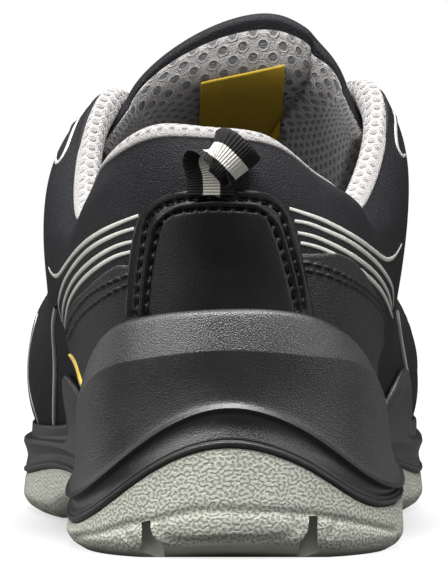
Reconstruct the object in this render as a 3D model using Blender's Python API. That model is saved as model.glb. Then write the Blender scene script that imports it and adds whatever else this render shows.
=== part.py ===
# Left safety sneaker, built on its last: outsole, midsole, upper, insole, tongue, overlays, laces.
# Metres, +Z up. The heel points to -Y, the toe to +Y, and the wearer's inner (medial) side to +X.

import math

import bmesh
import bpy
import numpy as np
from mathutils import Vector

MM = 0.001

# Driving sizes of the shoe
SOLE_LENGTH = 300 * MM
BALL_WIDTH = 110 * MM
HEEL_SEAT = 25 * MM
HEEL_RISE = 81 * MM
INSTEP_RISE = 92 * MM
HEEL_CUP_HEIGHT = 61 * MM
TOE_SPRING = 9 * MM
ARCH_RISE = 4 * MM
HEEL_BEVEL = 3.6 * MM

# Walls and clearances
UPPER_WALL = 2.5 * MM
COLLAR_PAD = 8 * MM
FIT_GAP = 0.35 * MM
INSOLE_THICKNESS = 4 * MM
TONGUE_THICKNESS = 4 * MM
TONGUE_GAP = 0.8 * MM
TONGUE_RISE = 15 * MM
PANEL_THICKNESS = 1.5 * MM
PANEL_HEIGHT = 29 * MM
PANEL_GAP = 0.6 * MM
COUNTER_THICKNESS = 1.0 * MM
BROW_WALL = 5.6 * MM
RIM_WALL = 3.4 * MM
OUTSOLE_PLATE = 5.5 * MM
SOLE_JOINT_WIDTH = 9 * MM

# Tread
GROOVE_DEPTH = 3.4 * MM
GROOVE_WIDTH = 3.2 * MM
HEEL_SLOT_WIDTH = 2.4 * MM
HEEL_SLOT_LENGTH = 34 * MM

# Webbing and lace
LOOP_WIDTH = 11.6 * MM
LOOP_THICKNESS = 1.3 * MM
LACE_WIDTH = 6 * MM
LACE_THICKNESS = 1.6 * MM
LACE_BARS = 5

# Facets around the shoe for each section interval
STEPS_PER_SECTION = 3
ROWS_BELOW_CUP = 3
ROWS_ABOVE_CUP = 8
BRIDGE_STEPS = 6

# Section, place along the sole, lateral and medial edge, foot bed height, share of toe spring,
# share of the instep rise. Lengths are shares of SOLE_LENGTH, BALL_WIDTH and HEEL_SEAT.
SECTIONS = (
    ("back", 0.000, 0.018, 0.018, 1.00, 0.00, 0.0),
    ("heel_turn", 0.017, -0.145, 0.191, 1.00, 0.00, 0.0),
    ("heel_bend", 0.057, -0.273, 0.323, 1.00, 0.00, 0.0),
    ("heel", 0.133, -0.349, 0.405, 1.00, 0.00, 0.0),
    ("ankle", 0.240, -0.359, 0.391, 0.97, 0.00, 0.3),
    ("waist", 0.367, -0.350, 0.359, 0.86, 0.00, 1.0),
    ("instep", 0.500, -0.418, 0.400, 0.72, 0.00, 1.0),
    ("ball", 0.643, -0.498, 0.487, 0.60, 0.00, 1.0),
    ("toes", 0.787, -0.468, 0.491, 0.60, 0.06, 1.0),
    ("toe_turn", 0.917, -0.305, 0.382, 0.60, 0.45, 1.0),
    ("tip", 1.000, 0.073, 0.073, 0.60, 1.00, 1.0),
)

# The five loops of the upper: section, along, lateral and medial, rise of the lateral and medial wall.
FEATHER_LOOP = (
    ("back", 0.032, 0.018, 0.018, 0.0, 0.0),
    ("heel_turn", 0.043, -0.118, 0.155, 0.0, 0.0),
    ("heel_bend", 0.077, -0.218, 0.259, 0.0, 0.0),
    ("heel", 0.143, -0.277, 0.318, 0.0, 0.0),
    ("ankle", 0.243, -0.286, 0.314, 0.0, 0.0),
    ("waist", 0.367, -0.282, 0.282, 0.0, 0.0),
    ("instep", 0.500, -0.345, 0.327, 0.0, 0.0),
    ("ball", 0.643, -0.423, 0.418, 0.0, 0.0),
    ("toes", 0.780, -0.400, 0.423, 0.0, 0.0),
    ("toe_turn", 0.897, -0.259, 0.323, 0.0, 0.0),
    ("tip", 0.967, 0.073, 0.073, 0.0, 0.0),
)
LOW_LOOP = (
    ("back", 0.022, 0.014, 0.014, 0.247, 0.247),
    ("heel_turn", 0.037, -0.141, 0.173, 0.247, 0.247),
    ("heel_bend", 0.073, -0.245, 0.277, 0.247, 0.247),
    ("heel", 0.143, -0.309, 0.336, 0.235, 0.235),
    ("ankle", 0.243, -0.327, 0.341, 0.222, 0.222),
    ("waist", 0.367, -0.350, 0.355, 0.212, 0.212),
    ("instep", 0.500, -0.418, 0.400, 0.196, 0.196),
    ("ball", 0.643, -0.485, 0.475, 0.174, 0.174),
    ("toes", 0.787, -0.459, 0.475, 0.179, 0.179),
    ("toe_turn", 0.910, -0.305, 0.364, 0.174, 0.174),
    ("tip", 0.987, 0.073, 0.073, 0.163, 0.163),
)
MIDDLE_LOOP = (
    ("back", 0.027, 0.005, 0.005, 0.556, 0.556),
    ("heel_turn", 0.042, -0.150, 0.168, 0.556, 0.556),
    ("heel_bend", 0.078, -0.255, 0.273, 0.543, 0.543),
    ("heel", 0.147, -0.318, 0.327, 0.519, 0.519),
    ("ankle", 0.247, -0.373, 0.373, 0.459, 0.459),
    ("waist", 0.367, -0.418, 0.414, 0.462, 0.451),
    ("instep", 0.493, -0.429, 0.414, 0.440, 0.430),
    ("ball", 0.633, -0.457, 0.441, 0.424, 0.430),
    ("toes", 0.770, -0.405, 0.423, 0.353, 0.353),
    ("toe_turn", 0.887, -0.273, 0.327, 0.326, 0.326),
    ("tip", 0.960, 0.073, 0.073, 0.304, 0.304),
)
SHOULDER_LOOP = (
    ("back", 0.033, -0.014, -0.014, 0.827, 0.827),
    ("heel_turn", 0.048, -0.155, 0.141, 0.815, 0.802),
    ("heel_bend", 0.087, -0.259, 0.250, 0.765, 0.753),
    ("heel", 0.153, -0.323, 0.318, 0.704, 0.716),
    ("ankle", 0.253, -0.373, 0.373, 0.625, 0.649),
    ("waist", 0.373, -0.412, 0.436, 0.777, 0.788),
    ("instep", 0.487, -0.336, 0.345, 0.707, 0.717),
    ("ball", 0.617, -0.300, 0.300, 0.598, 0.598),
    ("toes", 0.740, -0.245, 0.264, 0.495, 0.495),
    ("toe_turn", 0.823, -0.136, 0.182, 0.446, 0.446),
    ("tip", 0.863, 0.055, 0.055, 0.413, 0.413),
)
TOP_LOOP = (
    ("back", 0.045, -0.027, -0.027, 0.969, 0.969),
    ("heel_turn", 0.058, -0.159, 0.109, 0.969, 0.944),
    ("heel_bend", 0.093, -0.250, 0.195, 0.907, 0.858),
    ("heel", 0.160, -0.291, 0.255, 0.821, 0.790),
    ("ankle", 0.253, -0.338, 0.323, 0.708, 0.744),
    ("waist", 0.380, -0.314, 0.382, 0.978, 1.000),
    ("instep", 0.473, -0.191, 0.209, 0.957, 0.978),
    ("ball", 0.560, -0.118, 0.136, 0.859, 0.870),
    ("toes", 0.623, -0.077, 0.095, 0.761, 0.766),
    ("toe_turn", 0.653, -0.036, 0.055, 0.679, 0.679),
    ("tip", 0.663, 0.009, 0.009, 0.625, 0.625),
)

# Heights on the side of the sole as shares of HEEL_CUP_HEIGHT, lateral and medial: top of the outsole,
# rib, brow under the bevel, rim. Then shares of BROW_WALL, RIM_WALL and COLLAR_PAD.
SOLE_SIDE = (
    ("back", 0.449, 0.449, 0.607, 0.607, 0.836, 0.836, 1.000, 1.000, 1.00, 1.00, 0.75),
    ("heel_turn", 0.366, 0.356, 0.508, 0.500, 0.803, 0.811, 0.975, 0.975, 1.00, 1.00, 0.80),
    ("heel_bend", 0.197, 0.208, 0.320, 0.320, 0.731, 0.754, 0.885, 0.852, 0.90, 0.90, 0.85),
    ("heel", 0.108, 0.205, 0.213, 0.262, 0.574, 0.574, 0.656, 0.656, 0.70, 0.65, 0.90),
    ("ankle", 0.148, 0.254, 0.246, 0.344, 0.475, 0.475, 0.541, 0.541, 0.50, 0.55, 1.00),
    ("waist", 0.205, 0.238, 0.303, 0.328, 0.426, 0.418, 0.492, 0.484, 0.45, 0.50, 1.00),
    ("instep", 0.225, 0.246, 0.320, 0.336, 0.369, 0.385, 0.418, 0.434, 0.40, 0.50, 0.15),
    ("ball", 0.164, 0.164, 0.303, 0.295, 0.344, 0.352, 0.389, 0.402, 0.35, 0.28, 0.10),
    ("toes", 0.180, 0.180, 0.316, 0.316, 0.370, 0.370, 0.410, 0.410, 0.35, 0.50, 0.10),
    ("toe_turn", 0.246, 0.246, 0.393, 0.393, 0.451, 0.451, 0.508, 0.508, 0.50, 0.60, 0.10),
    ("tip", 0.328, 0.328, 0.467, 0.467, 0.525, 0.525, 0.590, 0.590, 0.60, 0.70, 0.10),
)

# Blades of the midsole at the waist: place around the shoe, half width in sections, and rise as a
# share of HEEL_CUP_HEIGHT.
BLADES = (
    ("lateral", 5.33, 0.56, 0.185),
    ("medial", 13.67, 0.60, 0.235),
)

# Heel panel: row, share of the way from the cup's rim up to the panel's top, lateral and medial edge
# as shares of BALL_WIDTH.
PANEL_ROWS = (
    ("foot", 0.00, -0.217, 0.200),
    ("low", 0.30, -0.212, 0.182),
    ("middle", 0.57, -0.203, 0.167),
    ("high", 0.78, -0.187, 0.148),
    ("corner", 0.89, -0.162, 0.128),
    ("round", 0.96, -0.125, 0.100),
    ("top", 1.00, -0.060, 0.045),
)

# Side counters: place along the last and height of the top edge on the lateral and medial side,
# as shares of the section count and of HEEL_RISE.
COUNTER_ROWS = (
    ("rear", 1.75, 0.570, 0.610),
    ("first", 2.30, 0.530, 0.590),
    ("second", 2.90, 0.485, 0.530),
    ("third", 3.50, 0.440, 0.450),
    ("fourth", 4.00, 0.380, 0.385),
    ("front", 4.55, 0.290, 0.300),
)

# Free top edge of the tongue: share of the way across, share of TONGUE_RISE.
TONGUE_TOP = (
    ("lateral", 0.12),
    ("lateral_wing", 0.40),
    ("lateral_crown", 0.69),
    ("crown", 0.91),
    ("medial_crown", 0.90),
    ("medial_wing", 0.50),
    ("medial", 0.12),
)

# Transverse tread grooves: place along the sole and slant.
GROOVES = (
    (0.135, -6.0),
    (0.185, -6.0),
    (0.235, -6.0),
    (0.555, 9.0),
    (0.605, 9.0),
    (0.655, 9.0),
    (0.705, 9.0),
    (0.755, 9.0),
    (0.805, 9.0),
    (0.855, 9.0),
    (0.905, 9.0),
)

SECTION_COUNT = 2 * (len(SECTIONS) - 1)
AROUND = np.arange(SECTION_COUNT * STEPS_PER_SECTION) / STEPS_PER_SECTION
ROLL_SECTION = 5.25
THROAT_SECTION = 8.4


def knot_curvatures(count, closed):
    """Matrix from knot values to the second derivatives of the cubic spline through them."""
    system = np.zeros((count, count))
    values = np.zeros((count, count))
    for row in range(count):
        if not closed and row in (0, count - 1):
            system[row, row] = 1.0
            continue
        before = (row - 1) % count
        after = (row + 1) % count
        system[row, row] = 4.0
        system[row, before] += 1.0
        system[row, after] += 1.0
        values[row, row] = -12.0
        values[row, before] += 6.0
        values[row, after] += 6.0
    return np.linalg.solve(system, values)


def spline_weights(at, count, closed):
    """Weights of the knots for the spline's value at each place, where the knots lie at 0, 1, 2, ..."""
    at = np.asarray(at, dtype=float).ravel()
    curvature = knot_curvatures(count, closed)
    last_start = count - 1 if closed else count - 2
    start = np.clip(np.floor(at).astype(int), 0, last_start)
    share = at - start
    after = (start + 1) % count
    weights = np.zeros((len(at), count))
    rows = np.arange(len(at))
    weights[rows, start] += 1.0 - share
    weights[rows, after] += share
    weights += ((1.0 - share) ** 3 - (1.0 - share))[:, None] * curvature[start] / 6.0
    weights += (share ** 3 - share)[:, None] * curvature[after] / 6.0
    return weights


def around(table, lateral, medial):
    """A table's column as a ring: heel back, lateral side, toe tip, medial side."""
    out = [row[lateral] for row in table]
    back = [row[medial] for row in table[1:-1]]
    return np.array(out + back[::-1])


def ring_values(knots, at):
    """A ring of knot values read at any places around the shoe."""
    at = np.mod(np.asarray(at, dtype=float), SECTION_COUNT)
    weights = spline_weights(at, SECTION_COUNT, True)
    return np.tensordot(weights, knots, axes=1)


def smooth(low, high, value):
    """A soft step from 0 at low to 1 at high."""
    share = np.clip((value - low) / (high - low), 0.0, 1.0)
    return share * share * (3.0 - 2.0 * share)


def along_sole(share):
    """World Y of a place along the sole."""
    return (share - 0.5) * SOLE_LENGTH


SPRING = around(SECTIONS, 5, 5) * TOE_SPRING
SEAT = around(SECTIONS, 4, 4) * HEEL_SEAT + SPRING
INSTEP = around(SECTIONS, 6, 6)
RISE = HEEL_RISE * (1.0 - INSTEP) + INSTEP_RISE * INSTEP
SOLE_EDGE = np.stack(
    (around(SECTIONS, 2, 3) * BALL_WIDTH, along_sole(around(SECTIONS, 1, 1))), axis=1
)


def last_knots():
    """The upper's net of knots: loops by sections by coordinates."""
    loops = []
    for loop in (FEATHER_LOOP, LOW_LOOP, MIDDLE_LOOP, SHOULDER_LOOP, TOP_LOOP):
        x = around(loop, 2, 3) * BALL_WIDTH
        y = along_sole(around(loop, 1, 1))
        z = SEAT + around(loop, 4, 5) * RISE
        loops.append(np.stack((x, y, z), axis=1))
    return np.array(loops)


LAST = last_knots()
LOOPS = len(LAST)


def last_point(u, v):
    """Points of the upper's outer face: u in sections around the shoe, v from 0 (sole) to 1 (opening)."""
    u, v = np.broadcast_arrays(np.asarray(u, dtype=float), np.asarray(v, dtype=float))
    shape = u.shape
    across = spline_weights(np.mod(u, SECTION_COUNT), SECTION_COUNT, True)
    up = spline_weights(v * (LOOPS - 1), LOOPS, False)
    points = np.einsum("nl,ns,lsc->nc", up, across, LAST)
    return points.reshape(shape + (3,))


def last_normal(u, v):
    """Outward unit normals of the upper's outer face."""
    step = 0.01
    v_low = np.clip(np.asarray(v) - step, 0.0, 1.0)
    v_high = np.clip(np.asarray(v) + step, 0.0, 1.0)
    along_u = last_point(u + step, v) - last_point(u - step, v)
    along_v = last_point(u, v_high) - last_point(u, v_low)
    normal = np.cross(along_v, along_u)
    return normal / np.linalg.norm(normal, axis=-1, keepdims=True)


def last_upward(u, v):
    """Unit direction from the sole to the opening, along the upper's outer face."""
    step = 0.01
    run = last_point(u, v) - last_point(u, np.asarray(v) - step)
    return run / np.linalg.norm(run, axis=-1, keepdims=True)


def v_at_height(u, height):
    """Where each strip of the last first reaches a height."""
    v = np.linspace(0.0, 1.0, 101)
    places = np.ravel(u)
    strips = last_point(places[:, None], v[None, :])[..., 2]
    strips = np.maximum.accumulate(strips, axis=1)
    return np.array([np.interp(level, strip, v) for level, strip in zip(np.ravel(height), strips)])


def wall_at_height(u, height, offset):
    """Points outside the last at a height, pushed out level by an offset."""
    v = v_at_height(u, height)
    normal = last_normal(u, v)
    normal[:, 2] = 0.0
    normal /= np.linalg.norm(normal, axis=1, keepdims=True)
    points = last_point(u, v) + normal * np.reshape(offset, (-1, 1))
    points[:, 2] = height
    return points


def wall_thickness(u, v):
    """The upper's wall: thin all over, padded at the collar and a little thicker at the eyestay."""
    pad = np.clip(ring_values(around(SOLE_SIDE, 11, 11), np.ravel(u)), 0.1, 1.0).reshape(np.shape(u))
    return UPPER_WALL + (COLLAR_PAD - UPPER_WALL) * pad * smooth(0.55, 0.95, v)


def inner_point(u, v, extra=0.0):
    """Points of the upper's inner face, or further in by an extra depth."""
    depth = wall_thickness(u, v) + extra
    return last_point(u, v) - last_normal(u, v) * depth[..., None]


def ground(y):
    """Height of the tread over the floor: heel bevel, arch and toe spring."""
    share = y / SOLE_LENGTH + 0.5
    bevel = HEEL_BEVEL * (1.0 - smooth(-0.02, 0.045, share))
    arch = ARCH_RISE * smooth(0.28, 0.36, share) * (1.0 - smooth(0.44, 0.53, share))
    spring = TOE_SPRING * np.clip((share - 0.76) / 0.24, 0.0, 1.2) ** 2
    return bevel + arch + spring


def sole_side(column, at):
    """A height on the side of the sole at places around it."""
    return ring_values(around(SOLE_SIDE, column, column + 1), at) * HEEL_CUP_HEIGHT


def blade_rise(at):
    """How far the midsole's rim stands up in a blade at places around the shoe."""
    at = np.mod(np.asarray(at, dtype=float), SECTION_COUNT)
    rise = np.zeros_like(at)
    for side, centre, half, share in BLADES:
        away = np.clip(np.abs(at - centre) / half, 0.0, 1.0)
        rise += (1.0 - away ** 2) ** 2 * share * HEEL_CUP_HEIGHT
    return rise


def rim_height(at):
    return sole_side(7, at) + blade_rise(at)


def brow_height(at):
    return sole_side(5, at) + blade_rise(at) * 0.85


def edge_ring(inset, height):
    """A ring of points that follows the sole's outline, set in and at a height."""
    step = 0.02
    points = ring_values(SOLE_EDGE, AROUND)
    run = ring_values(SOLE_EDGE, AROUND + step) - ring_values(SOLE_EDGE, AROUND - step)
    run /= np.linalg.norm(run, axis=1, keepdims=True)
    inward = np.stack((run[:, 1], -run[:, 0]), axis=1)
    points = points + inward * np.reshape(inset, (-1, 1))
    return np.column_stack((points, np.broadcast_to(height, len(points))))


def make_material(name, colour, roughness, metallic=0.0):
    material = bpy.data.materials.new(name)
    material.use_nodes = True
    shader = material.node_tree.nodes["Principled BSDF"]
    shader.inputs["Base Color"].default_value = (*colour, 1.0)
    shader.inputs["Roughness"].default_value = roughness
    shader.inputs["Metallic"].default_value = metallic
    material.diffuse_color = (*colour, 1.0)
    return material


class Body:
    """One closed solid, put together from rings and rungs of points."""

    def __init__(self):
        self.mesh = bmesh.new()

    def points(self, coordinates):
        return [self.mesh.verts.new(Vector(point)) for point in np.reshape(coordinates, (-1, 3))]

    def quad(self, a, b, c, d):
        """Two triangles with a set diagonal, so that facing bodies have the same facets."""
        self.mesh.faces.new((a, b, c))
        self.mesh.faces.new((a, c, d))

    def band(self, first, second):
        """Faces between two closed rings."""
        for index in range(len(first)):
            after = (index + 1) % len(first)
            self.quad(first[index], first[after], second[after], second[index])

    def rings(self, rings):
        """Closed rings joined one to the next; returns their vertices."""
        made = [self.points(ring) for ring in rings]
        for first, second in zip(made, made[1:]):
            self.band(first, second)
        return made

    def ladder(self, ring, columns):
        """Close a ring with rungs from the lateral to the medial side."""
        half = len(ring) // 2
        rows = []
        for rung in range(1, half):
            start = ring[rung]
            end = ring[-rung]
            between = [start.co.lerp(end.co, part / columns) for part in range(1, columns)]
            rows.append([start] + [self.mesh.verts.new(point) for point in between] + [end])
        for column in range(columns):
            self.mesh.faces.new((ring[0], rows[0][column], rows[0][column + 1]))
            self.mesh.faces.new((ring[half], rows[-1][column + 1], rows[-1][column]))
        self.grid(rows)

    def grid(self, rows):
        """Faces between open rows of vertices."""
        for first, second in zip(rows, rows[1:]):
            for index in range(len(first) - 1):
                self.quad(first[index], first[index + 1], second[index + 1], second[index])

    def finish(self, name, material, solid=True):
        if solid:
            bmesh.ops.recalc_face_normals(self.mesh, faces=self.mesh.faces)
        mesh = bpy.data.meshes.new(name)
        self.mesh.to_mesh(mesh)
        self.mesh.free()
        mesh.shade_smooth()
        mesh.set_sharp_from_angle(angle=math.radians(40))
        mesh.materials.append(material)
        made = bpy.data.objects.new(name, mesh)
        bpy.context.scene.collection.objects.link(made)
        return made


def thicken(sheet, thickness, offset):
    """Give a sheet its thickness, outward for an offset of 1 and inward for -1."""
    modifier = sheet.modifiers.new("thickness", "SOLIDIFY")
    modifier.thickness = thickness
    modifier.offset = offset
    modifier.use_even_offset = False
    return sheet


def make_upper(material):
    cup = v_at_height(AROUND, rim_height(AROUND))
    places = [cup * row / ROWS_BELOW_CUP for row in range(ROWS_BELOW_CUP)]
    for row in range(ROWS_ABOVE_CUP + 1):
        places.append(cup + (1.0 - cup) * row / ROWS_ABOVE_CUP)
    outer = [last_point(AROUND, v) for v in places]
    inner = [inner_point(AROUND, v) for v in places]
    inner[0][:, 2] = outer[0][:, 2]
    pad = np.linalg.norm(outer[-1] - inner[-1], axis=1, keepdims=True)
    crest_rise = 0.32
    crest = (outer[-1] + inner[-1]) / 2 + last_upward(AROUND, np.ones_like(AROUND)) * pad * crest_rise
    body = Body()
    made = body.rings(outer + [crest] + inner[::-1])
    body.band(made[-1], made[0])
    return body.finish("upper", material)


def make_midsole(material):
    top = sole_side(1, AROUND)
    rib = sole_side(3, AROUND)
    brow = brow_height(AROUND)
    rim = rim_height(AROUND)
    brow_wall = ring_values(around(SOLE_SIDE, 9, 9), AROUND) * BROW_WALL
    rim_wall = ring_values(around(SOLE_SIDE, 10, 10), AROUND) * RIM_WALL
    base = top + FIT_GAP
    lip = 1.8 * MM
    rim_round = 0.9 * MM
    joint = edge_ring(SOLE_JOINT_WIDTH, 0.0)
    joint[:, 2] = ground(joint[:, 1]) + OUTSOLE_PLATE + FIT_GAP
    rib_ring = edge_ring(0.1 * MM, rib)
    brow_ring = wall_at_height(AROUND, brow, FIT_GAP + brow_wall)
    recess = rib_ring * 0.5 + brow_ring * 0.5
    recess[:, :2] -= (edge_ring(0.0, 0.0) - edge_ring(1.0, 0.0))[:, :2] * 1.2 * MM
    outside = [
        edge_ring(0.9 * MM, base),
        edge_ring(0.1 * MM, base + lip),
        edge_ring(1.3 * MM, base + lip + (rib - base - lip) * 0.4),
        rib_ring,
        recess,
        brow_ring,
        wall_at_height(AROUND, rim - rim_round, FIT_GAP + rim_wall),
        wall_at_height(AROUND, rim, FIT_GAP + rim_wall * 0.6),
    ]
    cup = v_at_height(AROUND, rim)
    inside = []
    for row in range(ROWS_BELOW_CUP + 1):
        v = cup * row / ROWS_BELOW_CUP
        inside.append(last_point(AROUND, v) + last_normal(AROUND, v) * FIT_GAP)
    inside[0][:, 2] = ring_values(SEAT, AROUND) - FIT_GAP
    inside[-1][:, 2] = rim
    body = Body()
    outer = body.rings(outside)
    inner = body.rings(inside)
    under = body.points(joint)
    body.band(outer[0], under)
    body.band(outer[-1], inner[-1])
    body.ladder(under, 3)
    body.ladder(inner[0], 3)
    return body.finish("midsole", material)


def box_mesh(name, centre, size, slant):
    """A plain box as a cutter, turned about Z."""
    mesh = bmesh.new()
    bmesh.ops.create_cube(mesh, size=1.0)
    bmesh.ops.scale(mesh, vec=size, verts=mesh.verts)
    turn = Vector((0.0, 0.0, 1.0))
    spin = math.radians(slant)
    for vert in mesh.verts:
        x = vert.co.x * math.cos(spin) - vert.co.y * math.sin(spin)
        y = vert.co.x * math.sin(spin) + vert.co.y * math.cos(spin)
        vert.co = Vector((x, y, 0.0)) + turn * vert.co.z + Vector(centre)
    data = bpy.data.meshes.new(name)
    mesh.to_mesh(data)
    mesh.free()
    return data


def add_cutters(target, name, boxes):
    """Cut a set of boxes that don't meet each other out of a solid."""
    joined = bmesh.new()
    for index, (centre, size, slant) in enumerate(boxes):
        data = box_mesh(f"{name}_{index}", centre, size, slant)
        joined.from_mesh(data)
        bpy.data.meshes.remove(data)
    data = bpy.data.meshes.new(name)
    joined.to_mesh(data)
    joined.free()
    cutter = bpy.data.objects.new(name, data)
    bpy.context.scene.collection.objects.link(cutter)
    cutter.hide_render = True
    cutter.display_type = "WIRE"
    cutter.parent = target
    cut = target.modifiers.new(name, "BOOLEAN")
    cut.operation = "DIFFERENCE"
    cut.solver = "EXACT"
    cut.object = cutter


def make_outsole(material):
    top = sole_side(1, AROUND)
    plan = edge_ring(0.0, 0.0)
    belly = ground(plan[:, 1]) + 4.0 * MM
    foot = edge_ring(4.2 * MM, 0.0)
    foot[:, 2] = ground(foot[:, 1])
    chamfer = edge_ring(1.5 * MM, ground(plan[:, 1]) + 1.6 * MM)
    joint = edge_ring(SOLE_JOINT_WIDTH, 0.0)
    joint[:, 2] = ground(joint[:, 1]) + OUTSOLE_PLATE
    body = Body()
    made = body.rings([foot, chamfer, edge_ring(0.0, np.minimum(belly, top - 1.0 * MM)),
                       edge_ring(0.7 * MM, top), joint])
    body.ladder(made[0], 4)
    body.ladder(made[-1], 3)
    outsole = body.finish("outsole", material)
    reach = BALL_WIDTH * 1.2
    deep = 20 * MM
    grooves = []
    for share, slant in GROOVES:
        y = along_sole(share)
        centre = (0.0, y, ground(y) + GROOVE_DEPTH - deep / 2)
        grooves.append((centre, (reach, GROOVE_WIDTH, deep), slant))
    add_cutters(outsole, "tread_grooves", grooves)
    slots = []
    for share in (-0.178, 0.201):
        y = along_sole(0.0) + HEEL_SLOT_LENGTH / 2 - 4 * MM
        centre = (share * BALL_WIDTH, y, GROOVE_DEPTH - deep / 2)
        slots.append((centre, (HEEL_SLOT_WIDTH, HEEL_SLOT_LENGTH, deep), 0.0))
    add_cutters(outsole, "heel_grooves", slots)
    return outsole


def make_insole(material):
    edge = inner_point(AROUND, np.zeros_like(AROUND), FIT_GAP)
    low = edge.copy()
    low[:, 2] = ring_values(SEAT, AROUND)
    high = low.copy()
    high[:, 2] += INSOLE_THICKNESS
    body = Body()
    made = body.rings([low, high])
    body.ladder(made[0], 3)
    body.ladder(made[-1], 3)
    return body.finish("insole", material)


def bridge(u, v, lift, count, depth=None):
    """Points across the opening from the lateral edge to the medial one, as an arch.

    A depth is measured inward from the inner face; without one the arch joins the outer face,
    raised by the lift."""
    sides = (u, SECTION_COUNT - u)
    ends = []
    for side in sides:
        place = np.array([side])
        at = np.array([v])
        if depth is None:
            end = last_point(place, at) + last_normal(place, at) * lift
        else:
            end = inner_point(place, at, depth)
        ends.append((end[0], last_upward(place, at)[0]))
    (start, rise), (end, fall) = ends
    span = np.linalg.norm(end - start)
    handle = span * 0.22
    first = start + rise * handle
    second = end + fall * handle
    points = []
    for share in np.linspace(0.0, 1.0, count + 1)[1:-1]:
        rest = 1.0 - share
        points.append(rest ** 3 * start + 3 * rest ** 2 * share * first
                      + 3 * rest * share ** 2 * second + share ** 3 * end)
    return np.array(points)


def make_tongue(material):
    rungs = 8
    across = 8
    under = 3
    middle = SECTION_COUNT / 2
    places = np.append(np.linspace(ROLL_SECTION, THROAT_SECTION, rungs), middle)
    reach = 0.05 + 0.10 * smooth(0.0, 0.45, np.linspace(0.0, 1.0, rungs + 1))
    body = Body()
    rows = []
    for place, low in zip(places[:-1], reach[:-1]):
        gap = TONGUE_GAP * (1.0 + 2.0 * smooth(7.0, 9.0, place))
        v = np.linspace(1.0 - low, 1.0, under)
        lateral = inner_point(np.full(under, place), v, gap)
        medial = inner_point(np.full(under, SECTION_COUNT - place), v, gap)[::-1]
        arch = bridge(place, 1.0, 0.0, across, gap)
        rows.append(body.points(np.concatenate((lateral, arch, medial))))
    v = np.linspace(1.0 - reach[-1], 1.0, under)
    tip = body.points(inner_point(np.full(under, middle), v, TONGUE_GAP * 3.0))
    last = rows[-1]
    for index in range(under - 1):
        body.mesh.faces.new((last[index], last[index + 1], tip[index + 1], tip[index]))
        body.mesh.faces.new((tip[index], tip[index + 1], last[-2 - index], last[-1 - index]))
    for index in range(under - 1, len(last) - under):
        body.mesh.faces.new((last[index], last[index + 1], tip[-1]))
    free = rows[0][under - 1:len(last) - under + 1]
    shares = np.linspace(0.0, len(TONGUE_TOP) - 1, len(free))
    lift = spline_weights(shares, len(TONGUE_TOP), False) @ np.array([row[1] for row in TONGUE_TOP])
    free_rows = []
    for step in (1.0, 0.66, 0.33):
        row = np.array([vert.co for vert in free])
        row[:, 2] += lift * TONGUE_RISE * step
        row[:, 1] -= lift * TONGUE_RISE * 0.15 * step
        free_rows.append(body.points(row))
    body.grid(free_rows + [free])
    body.grid(rows)
    bmesh.ops.recalc_face_normals(body.mesh, faces=body.mesh.faces)
    body.mesh.faces.ensure_lookup_table()
    middle_face = max(body.mesh.faces, key=lambda face: face.calc_center_median().z)
    if middle_face.normal.y < 0:
        bmesh.ops.reverse_faces(body.mesh, faces=body.mesh.faces)
    tongue = body.finish("tongue", material, solid=False)
    return thicken(tongue, TONGUE_THICKNESS, -1.0)


def panel_place(height, x):
    """The place around the heel that lies at a height and a sideways distance."""
    u = np.linspace(-3.0, 3.0, 121)
    line = last_point(u, v_at_height(u, np.full_like(u, height)))
    return np.interp(x, line[::-1, 0], u[::-1])


def panel_point(height, x):
    """A point and its normal on the heel, at a height and a sideways distance."""
    place = np.array([panel_place(height, x)])
    at = v_at_height(place, [height])
    return last_point(place, at)[0], last_normal(place, at)[0]


def make_heel_panel(material):
    columns = 10
    top = HEEL_CUP_HEIGHT + PANEL_HEIGHT
    body = Body()
    rows = []
    for name, share, lateral, medial in PANEL_ROWS:
        row = []
        for part in range(columns + 1):
            x = (lateral + (medial - lateral) * part / columns) * BALL_WIDTH
            foot = float(rim_height([panel_place(HEEL_CUP_HEIGHT, x)])[0]) + PANEL_GAP
            point, normal = panel_point(foot + (top - foot) * share, x)
            row.append(point + normal * FIT_GAP * 1.2)
        rows.append(body.points(row))
    body.grid(rows)
    panel = body.finish("heel_panel", material, solid=False)
    return thicken(panel, PANEL_THICKNESS, 1.0)


def make_counter(name, material, medial):
    """One side's counter, from the heel panel's edge forward to where it meets the sole's rim."""
    columns = 12
    levels = 3
    knots = np.array([row[1:] for row in COUNTER_ROWS])
    table = spline_weights(np.linspace(0, len(knots) - 1, columns + 1), len(knots), False) @ knots
    body = Body()
    rows = []
    for place, lateral_top, medial_top in table:
        u = SECTION_COUNT - place if medial else place
        top = HEEL_SEAT + (medial_top if medial else lateral_top) * HEEL_RISE
        foot = float(rim_height([u])[0]) + FIT_GAP * 2
        heights = np.linspace(foot, max(top, foot + 2.0 * MM), levels + 1)
        rows.append(body.points(wall_at_height(np.full(levels + 1, u), heights, FIT_GAP * 1.2)))
    body.grid(rows)
    counter = body.finish(name, material, solid=False)
    return thicken(counter, COUNTER_THICKNESS, -1.0 if medial else 1.0)


def sweep(name, material, path, sideways, width, thickness):
    """A flat strip with rounded edges that follows a path."""
    path = np.array(path)
    sideways = np.array(sideways)
    body = Body()
    rings = []
    for index in range(len(path)):
        before = path[max(index - 1, 0)]
        after = path[min(index + 1, len(path) - 1)]
        run = after - before
        run /= np.linalg.norm(run)
        side = sideways[index] - run * np.dot(sideways[index], run)
        side /= np.linalg.norm(side)
        face = np.cross(side, run)
        corners = []
        for across, up in ((-1, 0), (-0.85, 1), (0.85, 1), (1, 0), (0.85, -1), (-0.85, -1)):
            corners.append(path[index] + side * across * width / 2 + face * up * thickness / 2)
        rings.append(corners)
    made = body.rings(rings)
    body.mesh.faces.new(made[0])
    body.mesh.faces.new(made[-1])
    return body.finish(name, material)


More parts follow.
